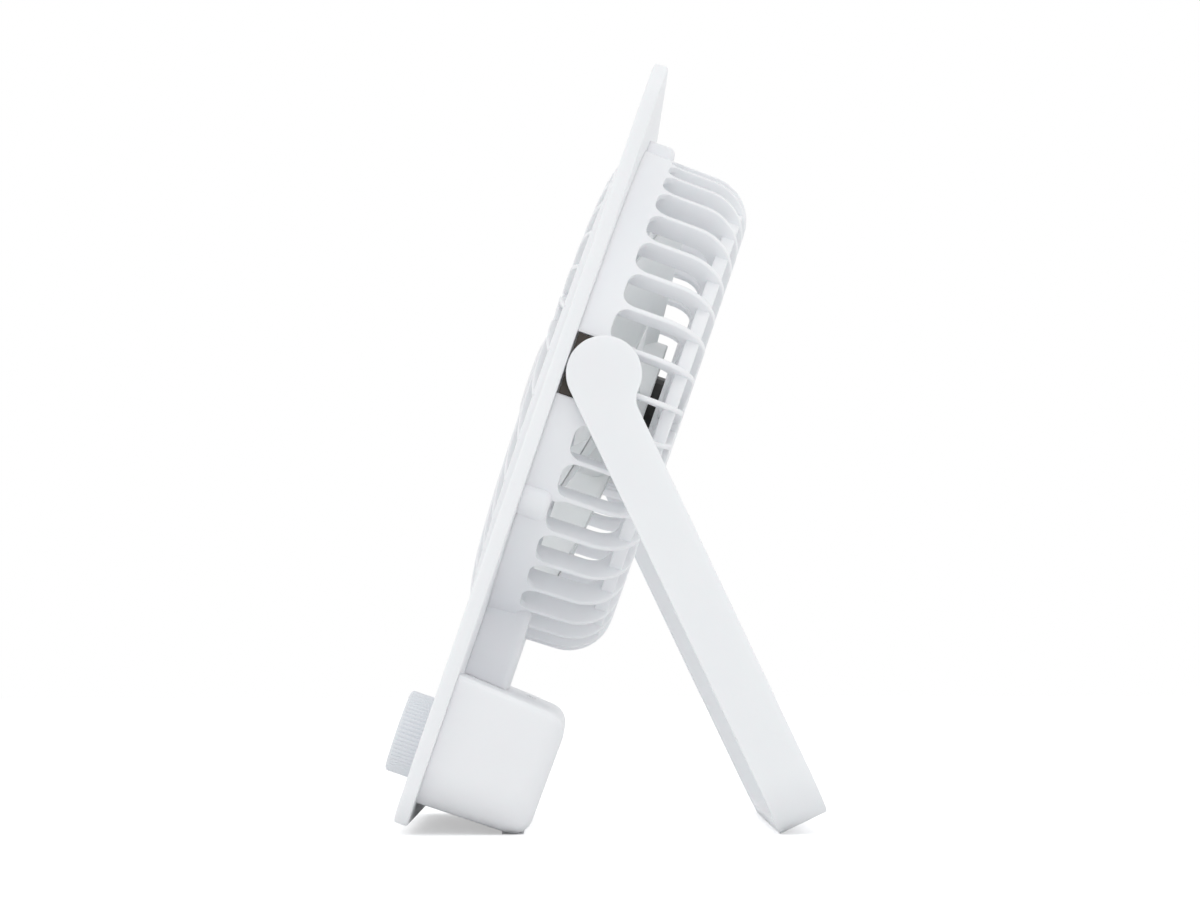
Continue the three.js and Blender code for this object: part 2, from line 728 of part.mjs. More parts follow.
function impeller() {
  const outer = impellerHubRadius;
  const inner = outer - impellerHubWall;
  const crown = impellerHubFront + impellerHubWall;
  const sleeveRear = motorFront - 1.4;
  const hub = turned([
    [0, impellerHubFront], [0.72 * outer, impellerHubFront], [0.93 * outer, impellerHubFront + 2],
    [outer, impellerHubFront + 6], [outer, impellerHubRear], [inner, impellerHubRear],
    [inner, impellerHubFront + 7], [0.86 * outer, crown + 1.6], [0.7 * outer, crown],
    [sleeveRadius, crown], [sleeveRadius, sleeveRear], [0, sleeveRear]], 40);
  const blades = [];
  for (let i = 0; i < bladeCount; i += 1) {
    blades.push(turnedBy(blade(), 360 * i / bladeCount + bladeBearing));
  }
  const hollow = rodAlongDepth(0, 0, inner, crown + 2, impellerHubRear + 1, 40)
    .subtract(rodAlongDepth(0, 0, sleeveRadius, impellerHubFront, impellerHubRear + 2, 40));
  const bore = rodAlongDepth(0, 0, shaftBore, 0, impellerHubRear, 14);
  return cut(join([hub, ...blades.map((piece) => piece.subtract(hollow))]), [bore]);
}

place('impeller', impeller(), whiteBlade);

function impellerNut() {
  const rear = impellerHubFront - seatGap;
  const body = turned([
    [0, rear - nutLength], [0.5 * nutRadius, rear - nutLength + 0.3],
    [0.85 * nutRadius, rear - nutLength + 1.4], [nutRadius, rear - nutLength + 3],
    [nutRadius, rear], [0, rear]], 20);
  return body.subtract(rodAlongDepth(0, 0, shaftBore, shaftFront - seatGap, rear + 1, 14));
}

place('impeller_nut', impellerNut(), whiteBlade);

// ---- Battery box -------------------------------------------------------------------------

// The box's outer form, drawn in by an inset for the room inside it.
function boxForm(inset, front) {
  const half = boxHalfWidth - inset;
  const top = boxTop - inset;
  const bottom = boxBottom + inset;
  const rear = boxRear - inset;
  const round = (radius) => Math.max(radius - inset, 0.8);
  const face = alongDepth(roundedOutline([
    [-half, bottom, round(boxLowerCorner)], [half, bottom, round(boxLowerCorner)],
    [half, top, round(boxUpperCorner)], [-half, top, round(boxUpperCorner)]], 5), front, rear + 5);
  const side = alongWidth(roundedOutline([
    [front, bottom, 0], [rear - boxRearLean, bottom + boxBottomRise, round(boxRearCorner)],
    [rear, top - boxTopFall, round(boxRearCorner)], [front, top, 0]], 6), -half - 5, half + 5);
  const plan = alongHeight(roundedOutline([
    [-half, front, 0], [half, front, 0], [half, rear, round(boxPlanCorner)],
    [-half, rear, round(boxPlanCorner)]], 5), bottom - 5, top + 5);
  return face.intersect(side).intersect(plan);
}

// The lowest point of the box when it is tilted back, which is on the rounding of its lower rear edge.
const footCentre = arcCentre(
  [boxFront, boxBottom], [boxRear - boxRearLean, boxBottom + boxBottomRise, boxRearCorner],
  [boxRear, boxTop - boxTopFall]).centre.toArray();
const footDown = [Math.sin(tilt), -Math.cos(tilt)];

// A bar across the box's lower rear edge, level when the fan is tilted back; its faces are at
// the heights h0 and h1 above the box's lowest line.
function levelBar(x, halfLength, halfWidth, h0, h1) {
  const point = (across, height) => {
    const down = boxRearCorner - height;
    return [
      footCentre[0] + footDown[0] * down - footDown[1] * across,
      footCentre[1] + footDown[1] * down + footDown[0] * across];
  };
  const outline = [point(-halfWidth, h0), point(halfWidth, h0), point(halfWidth, h1), point(-halfWidth, h1)];
  return alongWidth(outline, x - halfLength, x + halfLength);
}

const footTop = footThickness - footProud;

function batteryBox() {
  const shell = boxForm(0, boxFront).subtract(boxForm(boxWall, boxFront - 20));
  const posts = boxScrewPlaces().map(([x, z]) =>
    rodAlongDepth(x, z, boxPostRadius, boxFront, boxRear - 0.6, 16).intersect(boxForm(0.5, boxFront)));
  const holes = boxScrewPlaces().flatMap(([x, z]) => [
    rodAlongDepth(x, z, clearHole, boxFront - 1, boxScrewSeat + 1, 12),
    rodAlongDepth(x, z, screwHeadRadius + seatGap, boxScrewSeat, boxRear + 2, 14)]);
  const footPockets = [-footX, footX].map((x) =>
    levelBar(x, footLength / 2 + seatGap, footWidth / 2 + seatGap, -2, footTop + seatGap));
  const socketHole = block(
    socketX - socketWidth / 2 - seatGap, socketX + socketWidth / 2 + seatGap,
    socketDepth - socketHeight / 2 - seatGap, socketDepth + socketHeight / 2 + seatGap,
    boxTop - boxTopFall - boxWall - 3, boxTop + 3);
  return cut(join([shell, ...posts]), [...holes, ...footPockets, socketHole]);
}

place('battery_box', batteryBox(), whiteShell);

['right', 'left'].forEach((name, i) => {
  const x = i === 0 ? footX : -footX;
  place(`foot_${name}`, levelBar(x, footLength / 2, footWidth / 2, -footProud, footTop), rubber);
});

// ---- Cells, tray and boards --------------------------------------------------------------

function cellTray() {
  const rear = trayFront + trayWallDepth;
  const ends = [-trayInnerEnd - trayThickness, -trayThickness / 2, trayInnerEnd].map((x) =>
    block(x, x + trayThickness, trayFront, rear, trayBottom, trayTop));
  const back = block(-trayOuterEnd, trayOuterEnd, trayFront, trayFront + trayThickness, trayBottom, trayTop);
  return join([back, ...ends]);
}

place('cell_tray', cellTray(), darkPlastic);

[['right', 1], ['left', -1]].forEach(([name, side]) => {
  const near = trayThickness / 2 + seatGap;
  const ends = [side * near, side * (near + cellLength)].sort((a, b) => a - b);
  place(`battery_cell_${name}`, rodAlongWidth(cellAxisDepth, cellAxis, cellRadius, ...ends), cellSleeve);
});

function controlBoard() {
  const boardRear = boardFront + boardThickness;
  const sheet = block(-boardHalfWidth, boardHalfWidth, boardFront, boardRear, boardBottom, boardTop);
  const holes = [-boardPostX, boardPostX].map((x) =>
    rodAlongDepth(x, boardPostZ, smallHole, boardFront - 1, boardRear + 1, 10));
  return cut(sheet, holes);
}

place('control_board', controlBoard(), board);

function socketTop() {
  const share = (socketDepth - boxFront) / (boxRear - boxFront);
  return boxTop - boxTopFall * share - 0.3;
}

function chargeSocket() {
  const top = socketTop();
  const form = (inset) => roundedRectangle(
    socketX - socketWidth / 2 + inset, socketX + socketWidth / 2 - inset,
    socketDepth - socketHeight / 2 + inset, socketDepth + socketHeight / 2 - inset, socketCorner - inset, 3);
  const tongue = block(socketX - 0.33 * socketWidth, socketX + 0.33 * socketWidth,
    socketDepth - 0.35, socketDepth + 0.35, top - socketLength + 0.5, top - 1);
  return alongHeight(form(0), top - socketLength, top)
    .subtract(alongHeight(form(socketWall), top - socketLength + 1, top + 1)).add(tongue);
}

place('charge_socket', chargeSocket(), steel);

const socketBoardFront = socketDepth + socketHeight / 2 + seatGap;
place('charge_board', block(
  socketX - socketBoardHalfWidth, socketX + socketBoardHalfWidth,
  socketBoardFront, socketBoardFront + socketBoardThickness,
  socketTop() - boxWall - socketBoardHeight - 0.9, socketTop() - boxWall - 0.9), board);

// ---- Speed switch and knob ---------------------------------------------------------------

function speedSwitch() {
  const half = switchBodySize / 2;
  const rear = housingFront + switchBodyDepth;
  const body = block(-half, half, housingFront, rear, knobAxis - half, knobAxis + half);
  const collar = rodAlongDepth(0, knobAxis, collarRadius, 0.4, housingFront + 1, 20);
  const bore = rodAlongDepth(0, knobAxis, dialShaftRadius + seatGap, -1, rear - 1, 18);
  return body.add(collar).subtract(bore);
}

place('speed_switch', speedSwitch(), darkPlastic);

const dialShaftRear = housingFront + switchBodyDepth - 1 - seatGap;
const dialShaftFront = 2.4 - knobProud;
place('dial_shaft', rodAlongDepth(0, knobAxis, dialShaftRadius, dialShaftFront, dialShaftRear, 18), steel);

function knob() {
  const flutes = [];
  for (let i = 0; i < 2 * knobFluteCount; i += 1) {
    const angle = Math.PI * i / knobFluteCount;
    const radius = knobRadius - (i % 2 ? knobFluteDepth : 0);
    flutes.push([radius * Math.cos(angle), knobAxis + radius * Math.sin(angle)]);
  }
  const body = alongDepth(flutes, knobChamfer - knobProud, knobRear);
  const crownRadius = knobRadius - knobFluteDepth;
  const crownRear = knobChamfer - knobProud + 0.2;
  const crown = turned([
    [0, -knobProud], [crownRadius - knobChamfer, 0.25 - knobProud],
    [crownRadius, crownRear], [0, crownRear]], knobFluteCount).translate([0, 0, knobAxis]);
  const hollow = rodAlongDepth(0, knobAxis, knobRadius - 2.6, -5, knobRear + 1, 28);
  const sleeve = rodAlongDepth(0, knobAxis, dialShaftRadius + 2, -6, knobRear - 0.4, 18);
  const bore = rodAlongDepth(0, knobAxis, dialShaftRadius + seatGap, dialShaftFront - seatGap, 1, 18);
  return body.add(crown).subtract(hollow).add(sleeve).subtract(bore);
}

place('knob', knob(), whiteKnob);

// ---- Screws ------------------------------------------------------------------------------

// A screw along the depth: the head's seat is at the depth y, and the shank runs forward to tip.
function screw(x, z, seat, tip, shank, headRadius, headHeight) {
  const head = rodAlongDepth(x, z, headRadius, seat, seat + headHeight, 14);
  const slot = block(x - headRadius, x + headRadius, seat + 0.55 * headHeight, seat + headHeight + 1,
    z - 0.3, z + 0.3);
  return rodAlongDepth(x, z, shank, tip, seat + 0.2, 12).add(head).subtract(slot);
}

bossPlaces().forEach(([x, z], i) => {
  place(`housing_screw_${i + 1}`,
    screw(x, z, bossScrewSeat, screwTip, screwRadius, screwHeadRadius, screwHeadHeight), steel);
});

boxScrewPlaces().forEach(([x, z], i) => {
  const seat = boxScrewSeat + seatGap;
  place(`box_screw_${i + 1}`,
    screw(x, z, seat, screwTip, screwRadius, screwHeadRadius, screwHeadHeight), steel);
});

[-boardPostX, boardPostX].forEach((x, i) => {
  const seat = boardFront + boardThickness + seatGap;
  const tip = panelThickness + seatGap;
  place(`board_screw_${i + 1}`,
    screw(x, boardPostZ, seat, tip, smallScrewRadius, smallHeadRadius, smallHeadHeight), steel);
});

[-motorScrewCircle, motorScrewCircle].forEach((x, i) => {
  const tip = motorRear - 3 + seatGap;
  place(`motor_screw_${i + 1}`,
    screw(x, 0, motorScrewSeat, tip, smallScrewRadius, smallHeadRadius, smallHeadHeight), steel);
});

// ---- Stand and pivots --------------------------------------------------------------------

// The height of the pivot above the ground, when the fan stands on its feet and is tilted back.
const lowestLine = boxRearCorner + footProud;
const groundDrop = footCentre[1] * Math.cos(tilt) - footCentre[0] * Math.sin(tilt) - lowestLine;
const pivotHeight = pivotAboveAxis * Math.cos(tilt) - pivotDepth * Math.sin(tilt) - groundDrop;
// The stand's front lower edge meets the ground: length * cos a + disc radius * sin a = height.
const standReach = Math.hypot(standLength, standDiscRadius);
const standFromVertical = Math.acos(pivotHeight / standReach) + Math.atan2(standDiscRadius, standLength);
const standAngle = tilt + standFromVertical;

// The stand hangs straight down from its pivots here: X across, Y to the rear, Z up.
function stand() {
  const innerBend = standBend - standThickness;
  const outer = roundedOutline([
    [-armOutside, 0, 0], [-armOutside, -standLength, standBend], [armOutside, -standLength, standBend],
    [armOutside, 0, 0]], 8);
  const inner = roundedOutline([
    [-armInside, 1, 0], [-armInside, standThickness - standLength, innerBend],
    [armInside, standThickness - standLength, innerBend], [armInside, 1, 0]], 8);
  const bow = alongDepth(outer, -standDiscRadius, standRearAtPivot)
    .subtract(alongDepth(inner, -standDiscRadius - 1, standRearAtPivot + 1));
  const taper = alongWidth([
    [standRearAtPivot, -standDiscRadius], [standRearAtFoot, -standLength - 1],
    [standRearAtPivot + 5, -standLength - 1], [standRearAtPivot + 5, -standDiscRadius]],
  -armOutside - 1, armOutside + 1);
  const ends = [-1, 1].flatMap((side) => {
    const [x0, x1] = [side * armInside, side * armOutside].sort((a, b) => a - b);
    const [x2, x3] = [side * blockInside, side * (armOutside - 1)].sort((a, b) => a - b);
    return [rodAlongWidth(0, 0, standDiscRadius, x0, x1, 40), rodAlongWidth(0, 0, stubRadius, x2, x3)];
  });
  const bores = [-1, 1].map((side) => {
    const [x0, x1] = [side * (blockInside - 2), side * (armInside - 1)].sort((a, b) => a - b);
    return rodAlongWidth(0, 0, clearHole, x0, x1, 12);
  });
  return cut(join([bow.subtract(taper), ...ends]), bores);
}

function onPivot(body) {
  const degrees = THREE.MathUtils.radToDeg(standAngle);
  return body.rotate([degrees, 0, 0]).translate([0, pivotDepth, pivotAboveAxis]);
}

place('stand', onPivot(stand()), whiteShell);

function pivotHole(x0, x1, radius = stubRadius + seatGap) {
  return rodAlongWidth(pivotDepth, pivotAboveAxis, radius, x0, x1);
}

[['right', 1], ['left', -1]].forEach(([name, side]) => {
  const between = (a, b) => [side * a, side * b].sort((p, q) => p - q);
  const plateSpan = between(pocketFloor + seatGap, pocketFloor + seatGap + hingePlateThickness);
  const plate = block(...plateSpan, housingFront + seatGap, pocketRear - seatGap,
    pivotAboveAxis - pocketHalfHeight + seatGap, pivotAboveAxis + pocketHalfHeight - seatGap)
    .subtract(pivotHole(plateSpan[0] - 1, plateSpan[1] + 1));
  place(`hinge_plate_${name}`, plate, brownSteel);

  const spacerSpan = between(pocketFloor + 2 * seatGap + hingePlateThickness, armInside - seatGap);
  const spacer = rodAlongWidth(pivotDepth, pivotAboveAxis, spacerRadius, ...spacerSpan)
    .subtract(pivotHole(spacerSpan[0] - 1, spacerSpan[1] + 1));
  place(`pivot_spacer_${name}`, spacer, nylon);

  const washerSpan = between(blockInside - seatGap - pivotWasherThickness, blockInside - seatGap);
  const washer = rodAlongWidth(pivotDepth, pivotAboveAxis, pivotWasherRadius, ...washerSpan)
    .subtract(pivotHole(washerSpan[0] - 1, washerSpan[1] + 1, clearHole));
  place(`pivot_washer_${name}`, washer, steel);

  const headSpan = between(pivotHeadInside, pivotHeadOutside);
  const shankSpan = between(pivotHeadOutside - 0.2, armInside - 1 - seatGap);
  const pivotScrew = rodAlongWidth(pivotDepth, pivotAboveAxis, pivotHeadRadius, ...headSpan, 14)
    .add(rodAlongWidth(pivotDepth, pivotAboveAxis, screwRadius, ...shankSpan, 12));
  place(`pivot_screw_${name}`, pivotScrew, steel);
});

// ---- Standing on the ground --------------------------------------------------------------

upright.rotation.x = -tilt;
const fan = new THREE.Group();
fan.add(upright);
fan.updateMatrixWorld(true);
const bounds = new THREE.Box3().setFromObject(fan, true);
upright.position.set(
  -(bounds.min.x + bounds.max.x) / 2, -(bounds.min.y + bounds.max.y) / 2, -bounds.min.z);
fan.updateMatrixWorld(true);

export default fan;
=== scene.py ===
"""A white rechargeable desk fan that leans back on its U-shaped stand, seen from its side."""

import json
import math

import bpy
import bmesh
from mathutils import Matrix, Vector


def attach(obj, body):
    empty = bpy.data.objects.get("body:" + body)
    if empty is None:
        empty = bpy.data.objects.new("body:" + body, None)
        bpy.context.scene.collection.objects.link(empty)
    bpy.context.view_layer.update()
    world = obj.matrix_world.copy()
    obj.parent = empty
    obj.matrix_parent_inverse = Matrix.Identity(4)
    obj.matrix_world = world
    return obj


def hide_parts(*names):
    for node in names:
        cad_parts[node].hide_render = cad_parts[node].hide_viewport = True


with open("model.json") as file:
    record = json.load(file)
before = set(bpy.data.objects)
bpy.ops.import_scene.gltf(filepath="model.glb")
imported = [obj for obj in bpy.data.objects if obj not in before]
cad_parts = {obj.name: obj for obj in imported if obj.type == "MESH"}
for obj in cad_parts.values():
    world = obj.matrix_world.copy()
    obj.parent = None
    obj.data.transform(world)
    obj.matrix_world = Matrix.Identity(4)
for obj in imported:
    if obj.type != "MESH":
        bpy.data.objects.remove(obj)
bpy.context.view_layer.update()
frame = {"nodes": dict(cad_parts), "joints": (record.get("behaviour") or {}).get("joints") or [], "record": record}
nodes = frame["nodes"]
joints = {j["name"]: j for j in frame["joints"]}

# ---- The fan's own frame -----------------------------------------------------------------
# Pieces are drawn in millimetres with the panel upright: X to the right, Y from the panel's
# front face to the back, Z up from the impeller's axis. TO_ROW leans them back into place.

PIVOT_DEPTH = 17.3
PIVOT_ABOVE = 3
spin_axis = Vector(joints["impeller_spin"]["axis"]).normalized()
pivot = Vector(joints["stand_hinge"]["pos_m"]) * 1000
TILT = math.atan2(-spin_axis.z, spin_axis.y)
LEAN = Matrix.Rotation(-TILT, 4, "X")
origin = pivot - (LEAN @ Vector((0, PIVOT_DEPTH, PIVOT_ABOVE)))
TO_ROW = Matrix.Scale(0.001, 4) @ Matrix.Translation(origin) @ LEAN

# ---- Sizes that several pieces share, in millimetres -------------------------------------

GAP = 0.3  # between pieces that touch
SEAM = 0.03  # what shows of that gap where the panel meets the housing and the box
PAST = 1  # how far a cutting tool reaches past what it cuts

HALF_PANEL = 90.3
PANEL_THICK = 4.8
OPENING = 80.5

HOUSING = 86
HOUSING_FRONT = PANEL_THICK + GAP
HOUSING_REAR = 45.7
SEAM_FRONT = HOUSING_FRONT - GAP + SEAM  # front of the housing and of the box
WALL = 2.4
FLANGE = OPENING + 1.9  # of the grille, behind the panel
FLANGE_REAR = HOUSING_FRONT + 1.5

BOX_TOP = -102.8
BOX_REAR = 42.9
BOX_FALL = 2.4  # how far the top falls towards the rear

MOTOR_FRONT = 21
KNOB_AXIS = -129
STUB = 4  # radius of the stand's pivot stubs
STUB_INSIDE = HOUSING - WALL - 3.7  # inner ends of the stubs and of the blocks round them

SCREW_HOLE = 1.7
HEAD_HOLE = 2.8
SMALL_HOLE = 1.3
SMALL_HEAD_HOLE = 2.1
BOX_POSTS = [(x, z) for z in (-112.7, -134.6) for x in (74.5, -74.5)]

BOSS_ANGLES = (90, -30, 210)
BOSS_RADIUS = 5.5
BOSS_REACH = HOUSING + 4.6 - BOSS_RADIUS
BOSSES = [(BOSS_REACH * math.cos(math.radians(a)), BOSS_REACH * math.sin(math.radians(a)))
          for a in BOSS_ANGLES]


# ---- Solids ------------------------------------------------------------------------------

def new_object(name, verts, faces):
    mesh = bpy.data.meshes.new(name)
    mesh.from_pydata([tuple(v) for v in verts], [], faces)
    body = bmesh.new()
    body.from_mesh(mesh)
    bmesh.ops.remove_doubles(body, verts=body.verts, dist=1e-5)
    bmesh.ops.recalc_face_normals(body, faces=body.faces)
    if body.calc_volume(signed=True) < 0:
        bmesh.ops.reverse_faces(body, faces=body.faces)
    body.to_mesh(mesh)
    body.free()
    return link_object(name, mesh)


def link_object(name, mesh):
    piece = bpy.data.objects.new(name, mesh)
    bpy.context.scene.collection.objects.link(piece)
    return piece


def drop(piece):
    mesh = piece.data
    bpy.data.objects.remove(piece)
    bpy.data.meshes.remove(mesh)


def gather(pieces):
    """One object that holds copies of the meshes of several, which are removed."""
    body = bmesh.new()
    for piece in pieces:
        body.from_mesh(piece.data)
        drop(piece)
    mesh = bpy.data.meshes.new("gathered")
    body.to_mesh(mesh)
    body.free()
    return link_object("gathered", mesh)


def modified_mesh(piece):
    graph = bpy.context.evaluated_depsgraph_get()
    return bpy.data.meshes.new_from_object(piece.evaluated_get(graph))


def combine(base, tool, operation):
    change = base.modifiers.new("combine", "BOOLEAN")
    change.operation = operation
    change.solver = "MANIFOLD"
    change.object = tool
    mesh = modified_mesh(base)
    if len(mesh.polygons) == 0:
        raise RuntimeError(f"the {operation} on {base.name} left nothing")
    base.modifiers.clear()
    old = base.data
    base.data = mesh
    bpy.data.meshes.remove(old)
    drop(tool)
    return base


def join(base, *tools):
    for tool in tools:
        combine(base, tool, "UNION")
    return base


def cut(base, *tools):
    for tool in tools:
        combine(base, tool, "DIFFERENCE")
    return base


def mix(a, b, share):
    return a + (b - a) * share


def quarter(steps):
    """The angles of a quarter turn, from 0 to 90 degrees."""
    return [0.5 * math.pi * k / steps for k in range(steps + 1)]


def arc_centre(before, corner, after, radius):
    """The centre of the arc that rounds a corner, the ways to its neighbours and half the angle."""
    back = (before - corner).normalized()
    ahead = (after - corner).normalized()
    half = math.acos(max(-1, min(1, back.dot(ahead)))) / 2
    return corner + (back + ahead).normalized() * (radius / math.sin(half)), back, ahead, half


def rounded(corners, steps=6):
    """A polygon whose corners, each (x, y, radius), are rounded."""
    points = []
    for i, (x, y, radius) in enumerate(corners):
        corner = Vector((x, y))
        if not radius:
            points.append((x, y))
            continue
        before = Vector(corners[i - 1][:2])
        after = Vector(corners[(i + 1) % len(corners)][:2])
        centre, back, ahead, half = arc_centre(before, corner, after, radius)
        first = corner + back * (radius / math.tan(half)) - centre
        last = corner + ahead * (radius / math.tan(half)) - centre
        start = math.atan2(first.y, first.x)
        turn = math.atan2(last.y, last.x) - start
        turn = (turn + math.pi) % (2 * math.pi) - math.pi
        for k in range(steps + 1):
            angle = start + turn * k / steps
            points.append((centre.x + radius * math.cos(angle), centre.y + radius * math.sin(angle)))
    return points


def rounded_box(x0, x1, y0, y1, radius, steps):
    """An upright rectangle with equally rounded corners."""
    return rounded([(x0, y0, radius), (x1, y0, radius), (x1, y1, radius), (x0, y1, radius)], steps)


def rings_to_solid(name, rings, closed=False):
    """A solid from rings with the same number of points; open ends are capped."""
    count = len(rings[0])
    verts = [p for ring in rings for p in ring]
    faces = []
    last = len(rings) if closed else len(rings) - 1
    for i in range(last):
        a = i * count
        b = ((i + 1) % len(rings)) * count
        for k in range(count):
            m = (k + 1) % count
            faces.append((a + k, a + m, b + m, b + k))
    if not closed:
        faces.append(tuple(range(count)))
        faces.append(tuple(range((len(rings) - 1) * count, len(rings) * count)))
    return new_object(name, verts, faces)


def turned(profile, sides, name="turned", centre=(0, 0)):
    """A closed profile of (radius, depth) turned about an axis along the depth."""
    rings = []
    for i in range(sides):
        angle = 2 * math.pi * i / sides
        rings.append([(centre[0] + r * math.cos(angle), d, centre[1] + r * math.sin(angle))
                      for r, d in profile])
    if min(r for r, _ in profile) > 1e-6:
        return rings_to_solid(name, rings, closed=True)
    verts = [p for ring in rings for p in ring]
    count = len(profile)
    faces = []
    for i in range(sides):
        a = i * count
        b = ((i + 1) % sides) * count
        for k in range(count):
            m = (k + 1) % count
            on_axis = (profile[k][0] < 1e-6, profile[m][0] < 1e-6)
            if all(on_axis):
                continue
            if on_axis[0]:
                faces.append((a + k, a + m, b + m))
            elif on_axis[1]:
                faces.append((a + k, a + m, b + k))
            else:
                faces.append((a + k, a + m, b + m, b + k))
    return new_object(name, verts, faces)


def prism(outline, a0, a1, along):
    """An outline extruded along x, y or z, from a0 to a1."""
    def put(p, a):
        return {"x": (a, p[0], p[1]), "y": (p[0], a, p[1]), "z": (p[0], p[1], a)}[along]
    return rings_to_solid("prism", [[put(p, a0) for p in outline], [put(p, a1) for p in outline]])


def block(x0, x1, y0, y1, z0, z1):
    return prism([(x0, z0), (x1, z0), (x1, z1), (x0, z1)], y0, y1, "y")


def rod(x, z, radius, y0, y1, sides=24):
    """A rod along the depth."""
    return turned([(0, y0), (radius, y0), (radius, y1), (0, y1)], sides, "rod", centre=(x, z))


def cross_rod(y, z, radius, x0, x1, sides=32):
    """A rod along the width."""
    angles = [2 * math.pi * i / sides for i in range(sides)]
    return prism([(y + radius * math.cos(a), z + radius * math.sin(a)) for a in angles], x0, x1, "x")


def on_side(side, near, far):
    """The span between two distances from the middle, on the left (-1) or on the right (1)."""
    return sorted((side * near, side * far))


def spin(piece, degrees):
    """Turns a piece about the fan's axis; positive lifts +X towards +Z."""
    piece.data.transform(Matrix.Rotation(-math.radians(degrees), 4, "Y"))
    return piece


def around(piece, count, offset=0.0):
    """Copies of a piece, evenly spread about the fan's axis, in one object."""
    copies = [spin(link_object(piece.name, piece.data.copy()), offset + 360 * i / count)
              for i in range(count)]
    drop(piece)
    return gather(copies)


def finish_piece(piece, name, body, look, replaced, crease=32):
    """Puts a piece in the frame, with its look, and with creases over that many degrees."""
    piece.name = name
    piece.data.name = name
    piece.data.transform(TO_ROW)
    piece.data.materials.clear()
    piece.data.materials.append(look)
    piece.data.shade_smooth()
    piece.data.set_sharp_from_angle(angle=math.radians(crease))
    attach(piece, body)
    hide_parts(*replaced)


# ---- Materials ---------------------------------------------------------------------------

MIX_COLORS = (6, 7)  # the sockets of a colour mix that take its two colours
MIX_RESULT = 2


def grow(tree, kind, **values):
    """A new node with its sockets or properties set."""
    node = tree.nodes.new(kind)
    for key, value in values.items():
        if key in node.inputs:
            node.inputs[key].default_value = value
        else:
            setattr(node, key, value)
    return node


def moulded(name, color, roughness, grain=0.25, grain_size=2600, spread=0.02, metallic=0.0,
            milky=0.0):
    """A moulded or brushed surface: a fine grain in relief and gloss, and slow, slight changes of
    tone. Milky plastic lets some light in below the surface."""
    look = bpy.data.materials.new(name)
    look.use_nodes = True
    tree = look.node_tree
    tree.nodes.clear()
    out = tree.nodes.new("ShaderNodeOutputMaterial")
    shader = grow(tree, "ShaderNodeBsdfPrincipled", Metallic=metallic)
    if milky:
        shader.inputs["Subsurface Weight"].default_value = milky
        shader.inputs["Subsurface Radius"].default_value = (0.9, 1.0, 0.97)
        shader.inputs["Subsurface Scale"].default_value = 0.0018
    tree.links.new(shader.outputs[0], out.inputs["Surface"])
    place = tree.nodes.new("ShaderNodeTexCoord")
    slow = grow(tree, "ShaderNodeTexNoise", Scale=38.0, Detail=3.0, Roughness=0.55)
    fine = grow(tree, "ShaderNodeTexNoise", Scale=float(grain_size), Detail=2.0, Roughness=0.6)
    tree.links.new(place.outputs["Object"], slow.inputs["Vector"])
    tree.links.new(place.outputs["Object"], fine.inputs["Vector"])
    tone = tree.nodes.new("ShaderNodeMix")
    tone.data_type = "RGBA"
    darker = tuple(c * (1 - spread) for c in color)
    lighter = tuple(min(1, c * (1 + 0.6 * spread)) for c in color)
    for socket, shade in zip(MIX_COLORS, (darker, lighter)):
        tone.inputs[socket].default_value = (*shade, 1)
    tree.links.new(slow.outputs["Fac"], tone.inputs[0])
    tree.links.new(tone.outputs[MIX_RESULT], shader.inputs["Base Color"])
    gloss = tree.nodes.new("ShaderNodeMapRange")
    gloss.inputs["To Min"].default_value = roughness - 0.05
    gloss.inputs["To Max"].default_value = roughness + 0.06
    tree.links.new(fine.outputs["Fac"], gloss.inputs["Value"])
    tree.links.new(gloss.outputs["Result"], shader.inputs["Roughness"])
    relief = grow(tree, "ShaderNodeBump", Strength=grain, Distance=0.00003)
    tree.links.new(fine.outputs["Fac"], relief.inputs["Height"])
    tree.links.new(relief.outputs["Normal"], shader.inputs["Normal"])
    return look


def metal(name, color, roughness, spread, metallic=1.0):
    """A brushed metal, with a coarser grain than the plastics."""
    return moulded(name, color, roughness, grain=0.3, grain_size=900, spread=spread, metallic=metallic)


shell = moulded("white_shell", (0.905, 0.913, 0.94), 0.46, milky=0.5)
knob_look = moulded("white_knob", (0.81, 0.83, 0.86), 0.42, milky=0.3)
blade_look = moulded("white_blade", (0.88, 0.90, 0.90), 0.34, grain=0.1, milky=0.5)

SLOT_LOOKS = {
    "shell": shell,
    "knob": knob_look,
    "blade": blade_look,
    "motor": moulded("black_motor", (0.012, 0.012, 0.012), 0.34, grain=0.15, spread=0.1),
    "steel": metal("bright_steel", (0.56, 0.57, 0.58), 0.3, spread=0.06),
    # The hinge plate in the pivot pocket: its very dark brown is partly the plate's own dark steel and partly the
    # pocket's deep shade painted on.
    "dark_steel": metal("dark_plate_and_painted_shade", (0.085, 0.072, 0.062), 0.42, spread=0.15, metallic=0.6),
    "bronze": moulded("bronze", (0.42, 0.26, 0.11), 0.35, spread=0.08, metallic=1.0),
    "nylon": moulded("nylon", (0.62, 0.62, 0.6), 0.5),
    "dark_plastic": moulded("dark_plastic", (0.018, 0.018, 0.021), 0.45, spread=0.1),
    "board": moulded("green_board", (0.012, 0.09, 0.035), 0.35, grain=0.2, grain_size=700,
                     spread=0.2),
    "cell": moulded("blue_sleeve", (0.02, 0.1, 0.3), 0.3, grain=0.1, spread=0.06),
    "rubber": moulded("white_rubber", (0.8, 0.81, 0.82), 0.75, grain=0.4),
}
for part in frame["record"]["subparts"]:
    node = nodes[part["node"]]
    node.data.materials.clear()
    node.data.materials.append(SLOT_LOOKS[part["material_slot"]])

# ---- Front panel -------------------------------------------------------------------------

